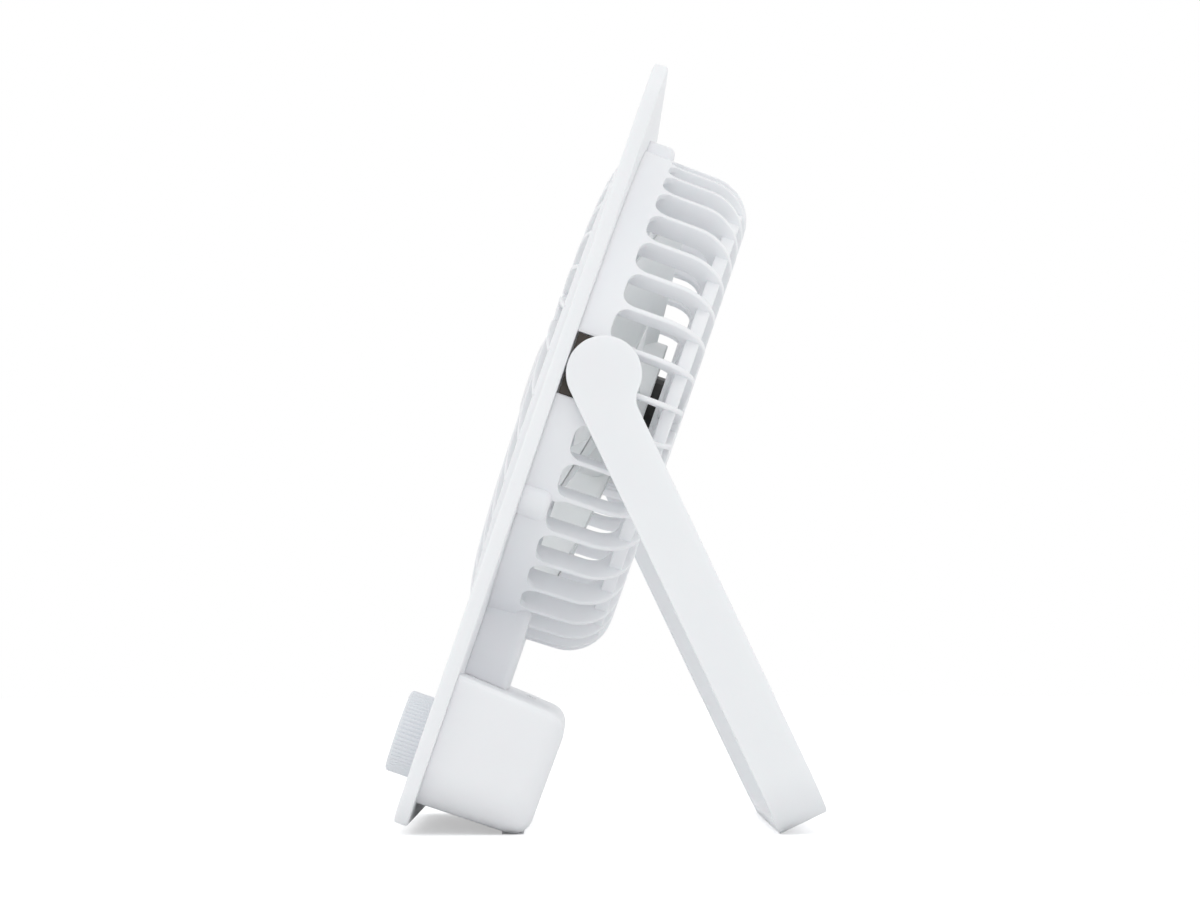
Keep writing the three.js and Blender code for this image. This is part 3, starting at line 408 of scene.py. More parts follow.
PANEL_TOP = 104.4
PANEL_FOOT = -154.4
PANEL_CORNER = 12
PANEL_EDGE = 0.9
OPENING_EDGE = 0.6
SCREW_TIP = 0.35 * PANEL_THICK  # how near the screws come to the panel's face
KNOB_SHAFT_HOLE = 4.5
BOARD_POSTS = [(-30, -116.7), (30, -116.7)]
BOARD_POST_RADIUS = 2.6
BOARD_POST_END = 11.5


def edge_layers(low, high, edge, steps):
    """(inset, height) pairs that round both edges of a sheet between two heights."""
    lower = [(edge * (1 - math.sin(a)), low + edge * (1 - math.cos(a))) for a in quarter(steps)]
    upper = [(edge * (1 - math.sin(a)), high - edge * (1 - math.cos(a))) for a in quarter(steps)]
    return lower + upper[::-1]


def panel():
    rings = []
    for inset, depth in edge_layers(0, PANEL_THICK, PANEL_EDGE, 5):
        half = HALF_PANEL - inset
        outline = rounded_box(-half, half, PANEL_FOOT + inset, PANEL_TOP - inset,
                              PANEL_CORNER - inset, 14)
        rings.append([(x, depth, z) for x, z in outline])
    sheet = rings_to_solid("panel", rings)
    throat = [(0, -0.5), (OPENING + OPENING_EDGE + 0.05, -0.5)]
    throat += [(OPENING + OPENING_EDGE * (1 - math.sin(a)), OPENING_EDGE * (1 - math.cos(a)) - 0.02)
               for a in quarter(4)]
    throat += [(OPENING, PANEL_THICK + PAST), (0, PANEL_THICK + PAST)]
    cut(sheet, turned(throat, 240, "throat"))
    holes = [rod(x, z, SCREW_HOLE, SCREW_TIP - GAP, PANEL_THICK + PAST)
             for x, z in BOSSES + BOX_POSTS]
    holes.append(rod(0, KNOB_AXIS, KNOB_SHAFT_HOLE, -PAST, PANEL_THICK + PAST, 32))
    cut(sheet, gather(holes))
    posts = [cut(rod(x, z, BOARD_POST_RADIUS, PANEL_THICK - PAST, BOARD_POST_END),
                 rod(x, z, SMALL_HOLE, PANEL_THICK, BOARD_POST_END + 0.5)) for x, z in BOARD_POSTS]
    return join(sheet, gather(posts))


finish_piece(panel(), "panel", "housing", shell, ["front_panel"])

# ---- Front grille ------------------------------------------------------------------------

DOME = 6.5  # its height in front of the panel at the middle
DOME_CROWN = 2.1  # what an even curve takes off it by the rim
DOME_SHOULDER = 2.8  # what a late, steep one takes off
GRILLE_OUTER = OPENING - GAP
GRILLE_RIM = 2.8
GRILLE_PAIRS = 16  # of one long and one short fin
GRILLE_FIN = (1.6, 4.6, 0.62)  # thickness, depth and rounding of the front edges
SPIRAL = math.radians(30)
GRILLE_HUB = 16
GRILLE_HUB_EDGE = 1.4
GRILLE_HUB_FLAT = 13.3
GRILLE_HUB_THICK = 4
MIDDLE_RING = (38, 0.8, 3.4)  # radius, half width and depth
MIDDLE_RING_SUNK = 0.4  # behind the fins' front edges


def dome(radius):
    share = radius / OPENING
    return DOME - DOME_CROWN * share ** 2 - DOME_SHOULDER * share ** 12


def fin_section(x, z, across, front):
    """A ring of points round a fin's cut: a bar with its front edges rounded."""
    thick, depth, edge = GRILLE_FIN
    half = thick / 2
    nose = [(half - edge * (1 - math.cos(a)), front + edge * (1 - math.sin(a))) for a in quarter(4)]
    shape = [(-half, front + depth), (half, front + depth)] + nose + [(-s, d) for s, d in nose[::-1]]
    return [(x + s * across.x, d, z + s * across.y) for s, d in shape]


def grille_fin(bearing, r0, r1, steps):
    """A fin along a spiral that keeps its angle to the radius."""
    rings = []
    for i in range(steps + 1):
        radius = r0 * (r1 / r0) ** (i / steps)
        angle = bearing - math.tan(SPIRAL) * math.log(radius / GRILLE_HUB)
        lean = angle - SPIRAL + math.pi / 2
        across = Vector((math.cos(lean), math.sin(lean)))
        x, z = radius * math.cos(angle), radius * math.sin(angle)
        rings.append(fin_section(x, z, across, -dome(radius)))
    return rings_to_solid("fin", rings)


def grille():
    inner = GRILLE_OUTER - GRILLE_RIM
    lip = -dome(inner) - 0.1
    rim = turned(rounded([(inner, FLANGE_REAR, 0.3), (inner, lip, 0.5),
                          (GRILLE_OUTER - 1.2, 0.62 * lip, 0.9), (GRILLE_OUTER, 0.3, 1.2),
                          (GRILLE_OUTER, HOUSING_FRONT, 0), (FLANGE, HOUSING_FRONT, 0),
                          (FLANGE, FLANGE_REAR, 0.3)], 4), 240, "rim")
    edge = [(GRILLE_HUB - GRILLE_HUB_EDGE * (1 - math.sin(a)),
             GRILLE_HUB_EDGE * (1 - math.cos(a)) - DOME) for a in quarter(6)]
    hub = turned([(0, -DOME), (GRILLE_HUB_FLAT, -DOME)] + edge
                 + [(GRILLE_HUB, GRILLE_HUB_THICK - DOME), (0, GRILLE_HUB_THICK - DOME)], 96, "hub")
    radius, half, depth = MIDDLE_RING
    front = MIDDLE_RING_SUNK - dome(radius)
    middle = turned(rounded([(radius - half, front, 0.5), (radius + half, front, 0.5),
                             (radius + half, front + depth, 0.3),
                             (radius - half, front + depth, 0.3)], 3), 192, "middle")
    fins = []
    for i in range(GRILLE_PAIRS):
        bearing = 2 * math.pi * i / GRILLE_PAIRS
        fins.append(grille_fin(bearing, GRILLE_HUB - 1.2, GRILLE_OUTER - 1.6, 30))
        fins.append(grille_fin(bearing + math.pi / GRILLE_PAIRS, radius, GRILLE_OUTER - 1.6, 20))
    return join(rim, gather(fins), hub, middle)


finish_piece(grille(), "grille", "housing", shell, ["front_grille"])

CAP_RADIUS = 13
CAP_THICK = 1.3
CAP_CROWN = 0.8  # how much lower its rim is than its middle
CAP_STATIONS = (0.3, 0.5, 0.65, 0.77, 0.86, 0.92, 0.96, 0.985)  # shares of the radius


def cap():
    rear = -DOME - GAP
    front = rear - CAP_THICK
    crown = [(CAP_RADIUS * s, front + CAP_CROWN * s ** 6) for s in CAP_STATIONS]
    edge = [(CAP_RADIUS, front + CAP_CROWN + 0.05), (CAP_RADIUS, rear), (0, rear)]
    return turned([(0, front)] + crown + edge, 96, "cap")


finish_piece(cap(), "middle_cap", "housing", shell, ["grille_cap"])

# ---- Rear housing ------------------------------------------------------------------------

HOUSING_TAPER = 1.2  # what the radius loses by the rear face
HOUSING_CORNER = 15.4
HOUSING_FLARE = (0.6, 1.5)  # how far the wall spreads at the panel, and over what depth
SLOT_FRONT = HOUSING_FRONT + 9.5
SLOT_CORNER = 4
FINS = 40
FIN_THICK = 1.75
FIN_DEPTH = 8
FIN_EDGE = 0.55
FIN_ROOT = 1.6  # how deep the fins start in the wall
FIN_FOOT = 2.5  # how deep they end in the hub
BAND = (75.3, 77.3, 38.7, 43.2)  # inner and outer radius, front and rear
HUB = 28.5
HUB_FRONT = HOUSING_REAR - 9.3
HUB_REAR = HOUSING_REAR + 0.4
HUB_FLOOR = 3.4
MOTOR_RADIUS = 14.6
MOTOR_SCREWS = (-9, 9)
SMALL_HEAD_SEAT = HUB_REAR - 1.7
BOSS_REAR = SLOT_FRONT - 0.2
BOSS_SOFT = 2.4  # rounding of its rear edge
BOSS_SEAT = BOSS_REAR - 2.3
NECK_HALF = 34
NECK_REAR = HOUSING_FRONT + 14.7
NECK_EDGE = 2.2
BLOCK_OUTSIDE = HOUSING - GAP
POCKET_HALF = 10.5
POCKET_REAR = PIVOT_DEPTH + 6
POCKET_FLOOR = BLOCK_OUTSIDE - 2.9
POCKET_WALL = 0.8
WASHER_ROOM = (75.2, 7.3)  # inner end and radius of the room for the pivot's screw and washer


def side_radius(depth):
    return HOUSING - HOUSING_TAPER * (depth - HOUSING_FRONT) / (HOUSING_REAR - HOUSING_FRONT)


def housing_fin():
    """A radial fin that follows the housing's side, its rim and its back."""
    inset = FIN_DEPTH / 2
    centre_depth = HOUSING_REAR - HOUSING_CORNER
    centre_radius = side_radius(centre_depth) - HOUSING_CORNER
    reach = HOUSING_CORNER - inset
    stations = [((side_radius(depth) - inset, depth), (1, 0))
                for depth in (SLOT_FRONT - FIN_ROOT, mix(SLOT_FRONT, centre_depth, 0.5))]
    for a in quarter(14):
        out = (math.cos(a), math.sin(a))
        stations.append(((centre_radius + reach * out[0], centre_depth + reach * out[1]), out))
    stations.append(((HUB - FIN_FOOT, HOUSING_REAR - inset), (0, 1)))
    section = rounded_box(-inset, inset, -FIN_THICK / 2, FIN_THICK / 2, FIN_EDGE, 3)
    rings = [[(p[0] + out * n[0], p[1] + out * n[1], side) for out, side in section]
             for p, n in stations]
    return rings_to_solid("fin", rings)


def screw_boss():
    """A round boss along the depth, half sunk in the wall, with a soft rear edge."""
    profile = [(0, SEAM_FRONT), (BOSS_RADIUS, SEAM_FRONT)]
    profile += [(BOSS_RADIUS - BOSS_SOFT * (1 - math.cos(a)), BOSS_REAR - BOSS_SOFT * (1 - math.sin(a)))
                for a in quarter(8)]
    profile.append((0, BOSS_REAR))
    body = turned(profile, 64, "boss", centre=(BOSS_REACH, 0))
    root = block(BOSS_REACH - BOSS_RADIUS, BOSS_REACH, HOUSING_FRONT, BOSS_REAR - BOSS_SOFT,
                 -BOSS_RADIUS, BOSS_RADIUS)
    return join(body, root)


def slotted_wall():
    """The housing's side wall, with a rounded slot between each two fins."""
    inner = HOUSING - WALL
    rear = SLOT_FRONT + SLOT_CORNER
    spread, depth = HOUSING_FLARE
    flare = [(HOUSING + spread * (1 - math.sin(a)), SEAM_FRONT + depth * (1 - math.cos(a)))
             for a in quarter(5)]
    wall = turned([(inner, SEAM_FRONT)] + flare + [(side_radius(rear), rear), (inner, rear)], 320,
                  "wall")
    half = HOUSING * math.tan(math.pi / FINS) - FIN_THICK / 2
    outline = rounded([(SLOT_FRONT, -half, SLOT_CORNER), (SLOT_FRONT + 9, -half, 0),
                       (SLOT_FRONT + 9, half, 0), (SLOT_FRONT, half, SLOT_CORNER)], 9)
    slot = prism(outline, inner - 3, HOUSING + 3, "x")
    return cut(wall, around(slot, FINS, 180 / FINS))


def neck():
    """The bridge under the round wall, down to the top of the box."""
    inner = HOUSING - WALL
    outline = rounded([(-NECK_HALF, SEAM_FRONT, 0), (NECK_HALF, SEAM_FRONT, 0),
                       (NECK_HALF, NECK_REAR, NECK_EDGE), (-NECK_HALF, NECK_REAR, NECK_EDGE)], 6)
    body = prism(outline, BOX_TOP - 2, -math.sqrt(inner ** 2 - NECK_HALF ** 2), "z")
    box_top = [(0, BOX_TOP + SEAM), (HOUSING_FRONT, BOX_TOP + SEAM),
               (BOX_REAR, BOX_TOP - BOX_FALL + SEAM), (BOX_REAR, BOX_TOP - 8), (0, BOX_TOP - 8)]
    cut(body, prism(box_top, -NECK_HALF - PAST, NECK_HALF + PAST, "x"))
    return cut(body, rod(0, 0, inner, 0, HOUSING_REAR, 320))


def rear_housing():
    r0, r1, y0, y1 = BAND
    band = turned(rounded_box(r0, r1, y0, y1, 0.5, 3), 200, "band")
    hub = turned([(0, HUB_FRONT), (HUB - 0.4, HUB_FRONT), (HUB, HUB_FRONT + 0.4), (HUB, HUB_REAR - 1),
                  (HUB - 0.3, HUB_REAR - 0.3), (HUB - 1, HUB_REAR), (0, HUB_REAR)], 160, "hub")
    wall = join(slotted_wall(), around(housing_fin(), FINS), band, hub)
    for angle in BOSS_ANGLES:
        join(wall, spin(screw_boss(), angle))
    join(wall, neck())
    reach = POCKET_HALF + POCKET_WALL
    blocks = [block(*on_side(s, STUB_INSIDE, BLOCK_OUTSIDE), SEAM_FRONT, POCKET_REAR + POCKET_WALL,
                    PIVOT_ABOVE - reach, PIVOT_ABOVE + reach) for s in (-1, 1)]
    join(wall, gather(blocks))
    cut(wall, rod(0, 0, FLANGE + GAP, 0, FLANGE_REAR + GAP, 240))
    cut(wall, rod(0, 0, MOTOR_RADIUS + GAP, HUB_FRONT - PAST, HOUSING_REAR - HUB_FLOOR, 72))
    for x in MOTOR_SCREWS:
        cut(wall, rod(x, 0, SMALL_HOLE, HUB_FRONT + 1, HUB_REAR + PAST, 20),
            rod(x, 0, SMALL_HEAD_HOLE, SMALL_HEAD_SEAT, HUB_REAR + PAST, 32))
    cut(wall, gather([rod(x, z, SCREW_HOLE, 0, SLOT_FRONT, 20) for x, z in BOSSES]))
    cut(wall, gather([rod(x, z, HEAD_HOLE, BOSS_SEAT, SLOT_FRONT + 8, 28) for x, z in BOSSES]))
    room_end, room_radius = WASHER_ROOM
    for s in (-1, 1):
        cut(wall, block(*on_side(s, POCKET_FLOOR, HALF_PANEL + 2), 0, POCKET_REAR,
                        PIVOT_ABOVE - POCKET_HALF, PIVOT_ABOVE + POCKET_HALF))
        cut(wall, cross_rod(PIVOT_DEPTH, PIVOT_ABOVE, STUB + GAP,
                            *on_side(s, BLOCK_OUTSIDE - 8, HALF_PANEL)))
        cut(wall, cross_rod(PIVOT_DEPTH, PIVOT_ABOVE, room_radius,
                            *on_side(s, room_end, STUB_INSIDE), 40))
    return wall


finish_piece(rear_housing(), "rear_cover", "housing", shell, ["rear_housing"])

# ---- Battery box -------------------------------------------------------------------------

BOX_HALF = 86
BOX_BOTTOM = -146.6
BOX_LEAN = 1  # how much less deep it is at the bottom
BOX_RISE = 0.4  # how far the bottom rises towards the rear
BOX_WALL = 2.2
BOX_LOWER_CORNER = 14  # seen from the front
BOX_UPPER_CORNER = 2
BOX_PLAN_CORNER = 8  # seen from above
BOX_REAR_CORNER = 6.8  # seen from the side
BOX_SEAT = 12.1  # of the screws' heads
BOX_POST_RADIUS = 4.6
FOOT_PLACES = (-52, 52)
FOOT_RECESS = (17.3, 3.8, 1.3)  # half length, half width and depth
SOCKET = (-35, 28.1, 4.8, 1.9)  # middle of its opening and half its sizes
SOCKET_CORNER = 1.5


def bevelled_box(inset, front):
    """The box's form: tapered to the rear, with its edges rounded by different amounts."""
    half = BOX_HALF - inset
    top, bottom = BOX_TOP - inset, BOX_BOTTOM + inset
    rear = BOX_REAR - inset
    verts = [(-half, front, bottom), (half, front, bottom), (half, front, top), (-half, front, top),
             (-half, rear - BOX_LEAN, bottom + BOX_RISE), (half, rear - BOX_LEAN, bottom + BOX_RISE),
             (half, rear, top - BOX_FALL), (-half, rear, top - BOX_FALL)]
    faces = [(0, 3, 2, 1), (4, 5, 6, 7), (0, 1, 5, 4), (3, 7, 6, 2), (0, 4, 7, 3), (1, 2, 6, 5)]
    body = new_object("box", verts, faces)
    sizes = {(0, 4): BOX_LOWER_CORNER, (1, 5): BOX_LOWER_CORNER,
             (2, 6): BOX_UPPER_CORNER, (3, 7): BOX_UPPER_CORNER,
             (4, 7): BOX_PLAN_CORNER, (5, 6): BOX_PLAN_CORNER,
             (4, 5): BOX_REAR_CORNER, (6, 7): BOX_REAR_CORNER}
    largest = BOX_LOWER_CORNER - inset
    weights = body.data.attributes.new("bevel_weight_edge", "FLOAT", "EDGE")
    order = {tuple(round(c, 3) for c in v.co): v.index for v in body.data.vertices}
    place = [order[tuple(round(c, 3) for c in Vector(v))] for v in verts]
    for edge in body.data.edges:
        for (a, b), size in sizes.items():
            if {place[a], place[b]} == set(edge.vertices):
                weights.data[edge.index].value = max(size - inset, 0.8) / largest
    change = body.modifiers.new("round", "BEVEL")
    change.limit_method = "WEIGHT"
    change.width = largest
    change.segments = 10
    mesh = modified_mesh(body)
    body.modifiers.clear()
    body.data = mesh
    return body


def foot_recess(x):
    """A cut across the box's lower rear edge that lies level when the fan leans back."""
    half_length, half_width, depth = FOOT_RECESS
    corner = Vector((BOX_REAR - BOX_LEAN, BOX_BOTTOM + BOX_RISE))
    before = Vector((HOUSING_FRONT, BOX_BOTTOM))
    after = Vector((BOX_REAR, BOX_TOP - BOX_FALL))
    centre = arc_centre(before, corner, after, BOX_REAR_CORNER)[0]
    down = Vector((math.sin(TILT), -math.cos(TILT)))
    side = Vector((-down.y, down.x))
    places = ((-half_width, -2), (half_width, -2), (half_width, depth), (-half_width, depth))
    outline = [centre + down * (BOX_REAR_CORNER - rise) + side * across for across, rise in places]
    return prism(outline, x - half_length, x + half_length, "x")


def battery_box():
    case = bevelled_box(0, SEAM_FRONT)
    cut(case, bevelled_box(BOX_WALL, HOUSING_FRONT - 6))
    for x, z in BOX_POSTS:
        post = rod(x, z, BOX_POST_RADIUS, HOUSING_FRONT, BOX_REAR - 2, 32)
        combine(post, bevelled_box(0.5, HOUSING_FRONT), "INTERSECT")
        join(case, post)
    cut(case, gather([rod(x, z, SCREW_HOLE, 0, BOX_SEAT + PAST, 20) for x, z in BOX_POSTS]))
    cut(case, gather([rod(x, z, HEAD_HOLE, BOX_SEAT, BOX_REAR + 2, 28) for x, z in BOX_POSTS]))
    cut(case, gather([foot_recess(x) for x in FOOT_PLACES]))
    x, y, half_width, half_depth = SOCKET
    opening = rounded_box(x - half_width, x + half_width, y - half_depth, y + half_depth,
                          SOCKET_CORNER, 6)
    return cut(case, prism(opening, BOX_TOP - 8, BOX_TOP + 3, "z"))


finish_piece(battery_box(), "battery_case", "housing", shell, ["battery_box"])

# ---- Knob --------------------------------------------------------------------------------

KNOB_RADIUS = 14.35
KNOB_PROUD = 11.2
KNOB_LAYERS = [  # inset and depth, from its face to the panel
    (1.6, -KNOB_PROUD), (0.9, 0.1 - KNOB_PROUD), (0.45, 0.35 - KNOB_PROUD), (0.1, 0.75 - KNOB_PROUD),
    (0, 1.2 - KNOB_PROUD), (0, -0.9), (0.25, -0.4)]
KNOB_WALL = 2.6
FLUTES = 60
FLUTE_DEPTH = 0.42
FLUTE_STEPS = 6
FLUTE_SHAPE = 0.7  # under 1, the grooves are narrower than the ribs
FLUTE_FADE = 0.9  # the inset at which they have run out, on the rounded front edge
KNOB_SLEEVE = 5  # takes the dial's shaft
DIAL_BORE = 3.3


def knob():
    rings = []
    for inset, depth in KNOB_LAYERS:
        ring = []
        groove = FLUTE_DEPTH * max(0.0, 1 - inset / FLUTE_FADE)
        for i in range(FLUTES * FLUTE_STEPS):
            angle = 2 * math.pi * i / (FLUTES * FLUTE_STEPS)
            wave = abs(math.sin(0.5 * FLUTES * angle))
            radius = KNOB_RADIUS - inset - groove * (1 - wave ** FLUTE_SHAPE)
            ring.append((radius * math.cos(angle), depth, KNOB_AXIS + radius * math.sin(angle)))
        rings.append(ring)
    body = rings_to_solid("knob", rings)
    cut(body, rod(0, KNOB_AXIS, KNOB_RADIUS - KNOB_WALL, -5, PAST, 64))
    join(body, rod(0, KNOB_AXIS, KNOB_SLEEVE, -6, -0.8, 48))
    return cut(body, rod(0, KNOB_AXIS, DIAL_BORE, 2.1 - KNOB_PROUD, PAST, 36))


finish_piece(knob(), "control_knob", "knob", knob_look, ["knob"], crease=50)

# ---- Impeller ----------------------------------------------------------------------------

IMPELLER = 71
IMPELLER_FRONT = 12.5
IMPELLER_REAR = 33.5
IMPELLER_HUB = 25.5
IMPELLER_HUB_INNER = IMPELLER_HUB - 2
IMPELLER_CROWN = 6  # how deep the hub's rounded front is
CROWN_INSIDE = IMPELLER_FRONT + 2
SLEEVE = 4.6
SLEEVE_REAR = MOTOR_FRONT - 1.4
SHAFT_BORE = 1.8
BLADES = 5
BLADE_BEARING = -20
# Each pair holds for the root and for the tip.
BLADE_SWEEP = (66, 54)  # degrees round the axis
BLADE_START = (1, 2)  # behind the hub's front
BLADE_DEPTH = (16, 10.7)
BLADE_THICK = 1.6
BLADE_EDGE = 0.7
BLADE_LEAN = 14  # degrees by which the tip trails the root
BLADE_CAMBER = 0.12  # of its depth
BLADE_ROUND = 0.035  # of its radius, at the tip's corners


def blade():
    across, along = 16, 18
    rings = []
    for j in range(across + 1):
        out = j / across
        radius = mix(IMPELLER_HUB - 1, IMPELLER, out)
        sweep = math.radians(mix(*BLADE_SWEEP, out))
        front = IMPELLER_FRONT + mix(*BLADE_START, out)
        rear = front + mix(*BLADE_DEPTH, out)
        rows = ([], [])
        for i in range(along + 1):
            share = i / along
            angle = (share - 0.5) * sweep + math.radians(BLADE_LEAN) * out * out
            depth = mix(front, rear, share) + BLADE_CAMBER * (rear - front) * math.sin(math.pi * share)
            near = min(share * sweep * radius, (1 - share) * sweep * radius,
                       (1 - out) * (IMPELLER - IMPELLER_HUB))
            taper = math.sqrt(max(0.0, 1 - max(0.0, 1 - near / BLADE_EDGE) ** 2))
            half = 0.5 * BLADE_THICK * (0.25 + 0.75 * taper)
            reach = radius * (1 - BLADE_ROUND * out * (2 * share - 1) ** 2)
            for row, side in zip(rows, (-1, 1)):
                row.append((reach * math.cos(angle), depth + side * half, reach * math.sin(angle)))
        rings.append(rows[0] + rows[1][::-1])
    return rings_to_solid("blade", rings)


def impeller():
    curve = [(IMPELLER_HUB * math.sin(a) ** 0.8, IMPELLER_FRONT + IMPELLER_CROWN * (1 - math.cos(a)))
             for a in quarter(12)[1:]]
    hub = turned([(0, IMPELLER_FRONT)] + curve
                 + [(IMPELLER_HUB, IMPELLER_REAR - 0.4), (IMPELLER_HUB - 0.4, IMPELLER_REAR),
                    (IMPELLER_HUB_INNER, IMPELLER_REAR), (IMPELLER_HUB_INNER, IMPELLER_FRONT + 7),
                    (0.86 * IMPELLER_HUB, CROWN_INSIDE + 1.6), (0.7 * IMPELLER_HUB, CROWN_INSIDE),
                    (SLEEVE, CROWN_INSIDE), (SLEEVE, SLEEVE_REAR), (0, SLEEVE_REAR)], 120, "hub")
    hollow = turned([(SLEEVE, CROWN_INSIDE + 2), (IMPELLER_HUB_INNER, CROWN_INSIDE + 2),
                     (IMPELLER_HUB_INNER, IMPELLER_REAR + PAST), (SLEEVE, IMPELLER_REAR + PAST)], 120)
    join(hub, cut(around(blade(), BLADES, BLADE_BEARING), hollow))
    return cut(hub, rod(0, 0, SHAFT_BORE, 5, IMPELLER_REAR, 24))


finish_piece(impeller(), "fan_wheel", "impeller", blade_look, ["impeller"])

# ---- Stand -------------------------------------------------------------------------------

STAND_LENGTH = 157.5
STAND_THICK = 3.5
STAND_EDGE = 0.55
STAND_BEND = 18
DISC = 12.2
DISC_STEPS = 20
FILLET = 7  # in the corner between the pivot's disc and the arm
FILLET_STEPS = 6
REAR_TOP = 5.1  # the arm's rear edge behind the pivot, at its top and at its foot
REAR_FOOT = 4.8
ARM_MIDDLE = HALF_PANEL - STAND_THICK / 2
STUB_BORE = (78, 85.8)  # inner and outer end of the hole for the pivot's screw
# The stand turns until the end of its cross bar rests on the floor.
STAND_ANGLE = (TILT + math.acos(pivot.z / math.hypot(STAND_LENGTH, DISC))
               + math.atan2(DISC, STAND_LENGTH))


def stand_line():
    """Stations round the U: (place, outward direction, distance down from the pivot)."""
    centre = STAND_LENGTH - STAND_BEND
    radius = STAND_BEND - STAND_THICK / 2
    stations = []
    for k in range(1, 25):
        t = centre * k / 24
        stations.append(((ARM_MIDDLE, -t), (1, 0), t))
    for a in quarter(16)[1:]:
        place = (HALF_PANEL - STAND_BEND + radius * math.cos(a), -centre - radius * math.sin(a))
        stations.append((place, (math.cos(a), -math.sin(a)), centre + STAND_BEND * math.sin(a)))
    left = [((-x, z), (-nx, nz), t) for (x, z), (nx, nz), t in reversed(stations)]
    middle = [((x, -STAND_LENGTH + STAND_THICK / 2), (0, -1), STAND_LENGTH) for x in (45, 20, -20, -45)]
    return stations + middle + left


def rear_edge(t, inset):
    return mix(REAR_TOP, REAR_FOOT, min(1, t / STAND_LENGTH)) - inset


def disc_edges(inset):
    """The pivot disc's front and rear edge as (depth, height), from its top down to the arm.

    The rear one ends with the fillet between the disc and the arm.
    """
    radius = DISC - inset
    front = [(-radius * math.sin(a), radius * math.cos(a)) for a in quarter(DISC_STEPS)]
    reach = REAR_TOP + FILLET
    middle = Vector((reach, -math.sqrt((DISC + FILLET) ** 2 - reach ** 2)))
    sweep = math.atan2(middle.x, middle.y)
    bend = FILLET + inset
    on_disc = DISC_STEPS - FILLET_STEPS
    rear = []
    for k in range(on_disc + 1):
        a = sweep * k / on_disc
        rear.append((radius * math.sin(a), radius * math.cos(a)))
    for k in range(1, FILLET_STEPS + 1):
        a = mix(sweep + math.pi, 1.5 * math.pi, k / FILLET_STEPS)
        rear.append((middle.x + bend * math.sin(a), middle.y + bend * math.cos(a)))
    return front, rear


def stand():
    """The U is built of layers through its thickness, each with a front and a rear edge."""
    layers = []
    for inset, out in edge_layers(-STAND_THICK / 2, STAND_THICK / 2, STAND_EDGE, 4):
        disc_front, disc_rear = disc_edges(inset)
        front = [(ARM_MIDDLE + out, y, z) for y, z in disc_front]
        rear = [(ARM_MIDDLE + out, y, z) for y, z in disc_rear]
        left_front = [(-x, y, z) for x, y, z in reversed(front)]
        left_rear = [(-x, y, z) for x, y, z in reversed(rear)]
        for (x, z), (nx, nz), t in stand_line():
            if t > 1 - disc_rear[-1][1]:
                front.append((x + out * nx, inset - DISC, z + out * nz))
                rear.append((x + out * nx, rear_edge(t, inset), z + out * nz))
        layers.append(front + left_front + (rear + left_rear)[::-1])
    verts = [p for layer in layers for p in layer]
    ring = len(layers[0])
    faces = []
    for i in range(len(layers) - 1):
        for k in range(ring):
            m = (k + 1) % ring
            faces.append((i * ring + k, i * ring + m, (i + 1) * ring + m, (i + 1) * ring + k))
    for base in (0, (len(layers) - 1) * ring):
        for k in range(ring // 2 - 1):
            faces.append((base + k, base + k + 1, base + ring - 2 - k, base + ring - 1 - k))
    bow = new_object("bow", verts, faces)
    for s in (-1, 1):
        stub = cross_rod(0, 0, STUB, *on_side(s, STUB_INSIDE, HALF_PANEL - 1.5), 40)
        cut(stub, cross_rod(0, 0, SCREW_HOLE, *on_side(s, *STUB_BORE), 24))
        join(bow, stub)
    turn = Matrix.Rotation(STAND_ANGLE, 4, "X")
    bow.data.transform(Matrix.Translation((0, PIVOT_DEPTH, PIVOT_ABOVE)) @ turn)
    return bow


finish_piece(stand(), "stand_bow", "stand", shell, ["stand"])

# ---- Light, floor and camera -------------------------------------------------------------

SEEN_SKY = 1.0  # the white that the camera and reflections see
FELT_SKY = 0.84  # what lights the fan
FELT_COLOR = (0.985, 0.995, 1.0, 1)
FLOOR_COLOR = (0.94, 0.94, 0.94, 1)
FLOOR_GLOW = 0.42  # what lifts the floor to white, for the camera alone
WHITE = (1, 1, 1, 1)
BLACK = (0, 0, 0, 1)
LAMP_AIM = (0, 0, 0.12)


def studio():
    world = bpy.data.worlds.new("studio")
    bpy.context.scene.world = world
    world.use_nodes = True
    tree = world.node_tree
    tree.nodes.clear()
    out = tree.nodes.new("ShaderNodeOutputWorld")
    seen = grow(tree, "ShaderNodeBackground", Color=WHITE, Strength=SEEN_SKY)
    felt = grow(tree, "ShaderNodeBackground", Color=FELT_COLOR, Strength=FELT_SKY)
    rays = tree.nodes.new("ShaderNodeLightPath")
    either = grow(tree, "ShaderNodeMath", operation="MAXIMUM")
    any_seen = grow(tree, "ShaderNodeMath", operation="MAXIMUM")
    pick = tree.nodes.new("ShaderNodeMixShader")
    tree.links.new(rays.outputs["Is Camera Ray"], either.inputs[0])
    tree.links.new(rays.outputs["Is Glossy Ray"], either.inputs[1])
    tree.links.new(either.outputs[0], any_seen.inputs[0])
    tree.links.new(rays.outputs["Is Transmission Ray"], any_seen.inputs[1])
    tree.links.new(any_seen.outputs[0], pick.inputs[0])
    tree.links.new(felt.outputs[0], pick.inputs[1])
    tree.links.new(seen.outputs[0], pick.inputs[2])
    tree.links.new(pick.outputs[0], out.inputs["Surface"])


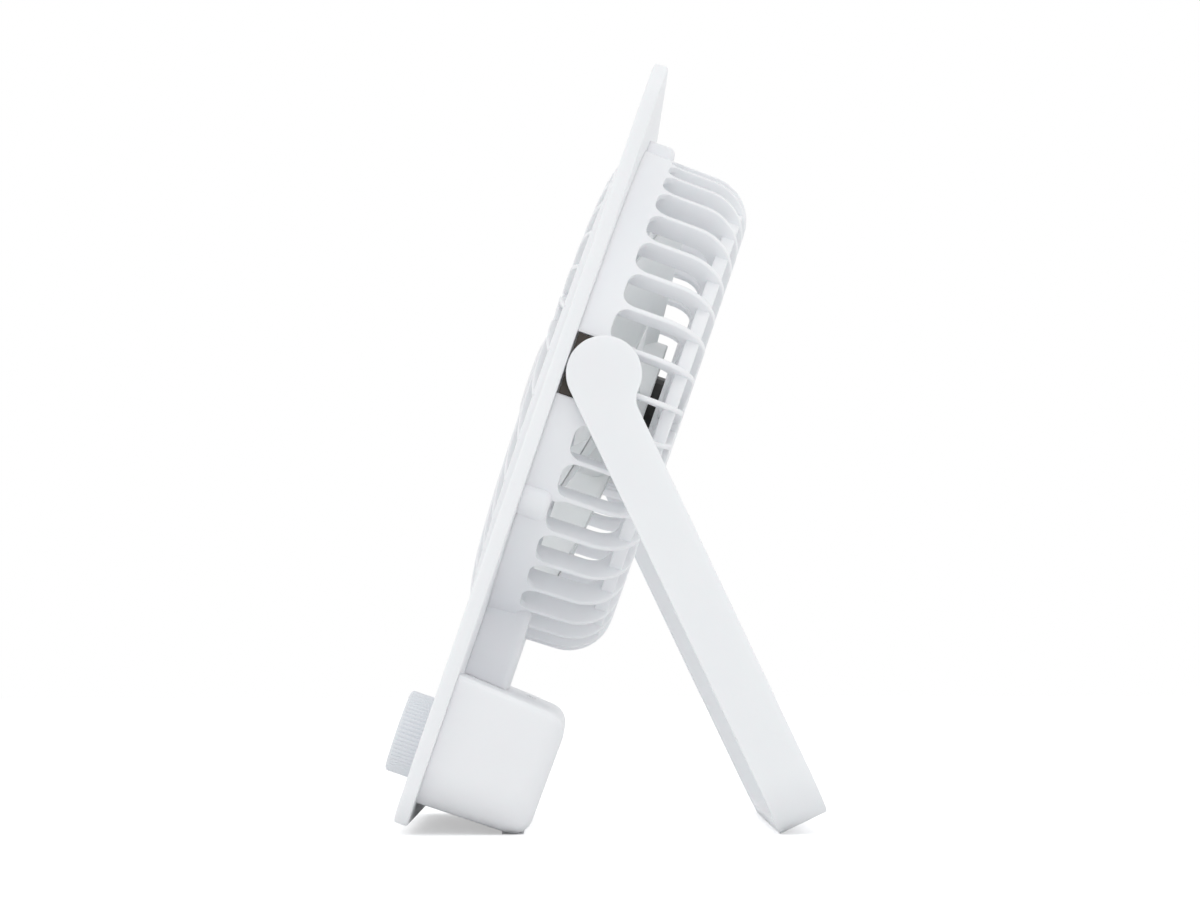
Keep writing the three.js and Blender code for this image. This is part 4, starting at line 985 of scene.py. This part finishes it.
def floor():
    bpy.ops.mesh.primitive_plane_add(size=6)
    ground = bpy.context.object
    ground.name = "floor"
    look = bpy.data.materials.new("floor")
    look.use_nodes = True
    tree = look.node_tree
    tree.nodes.clear()
    out = tree.nodes.new("ShaderNodeOutputMaterial")
    matte = grow(tree, "ShaderNodeBsdfDiffuse", Color=FLOOR_COLOR)
    glow = grow(tree, "ShaderNodeEmission", Color=WHITE, Strength=FLOOR_GLOW)
    none = grow(tree, "ShaderNodeEmission", Color=BLACK, Strength=0.0)
    rays = tree.nodes.new("ShaderNodeLightPath")
    pick = tree.nodes.new("ShaderNodeMixShader")
    total = tree.nodes.new("ShaderNodeAddShader")
    tree.links.new(rays.outputs["Is Camera Ray"], pick.inputs[0])
    tree.links.new(none.outputs[0], pick.inputs[1])
    tree.links.new(glow.outputs[0], pick.inputs[2])
    tree.links.new(matte.outputs[0], total.inputs[0])
    tree.links.new(pick.outputs[0], total.inputs[1])
    tree.links.new(total.outputs[0], out.inputs["Surface"])
    ground.data.materials.append(look)


def lamp(name, place, size, power):
    """A square lamp that points at the middle of the fan."""
    data = bpy.data.lights.new(name, "AREA")
    data.size = size
    data.energy = power
    light = link_object(name, data)
    light.location = place
    light.rotation_euler = (Vector(LAMP_AIM) - Vector(place)).to_track_quat("-Z", "Y").to_euler()


def camera():
    """The photograph's view, fitted to the fan's outline."""
    data = bpy.data.cameras.new("camera")
    data.sensor_width = 36
    data.lens = 110.95
    data.clip_start = 0.05
    eye = link_object("camera", data)
    eye.location = (1.2685, -0.0067, 0.0609)
    look_up = 0.05269
    look_right = 0.0056
    roll = -0.00227
    aim = (Matrix.Rotation(math.pi / 2 - look_right, 4, "Z")
           @ Matrix.Rotation(math.pi / 2 + look_up, 4, "X"))
    eye.rotation_euler = (aim @ Matrix.Rotation(roll, 4, "Z")).to_euler()
    bpy.context.scene.camera = eye


studio()
floor()
lamp("key", (1.3, 0.7, 1.5), 1.0, 4)
lamp("fill", (0.6, -1.4, 0.9), 1.2, 2)
camera()
bpy.context.scene.view_settings.view_transform = "Standard"
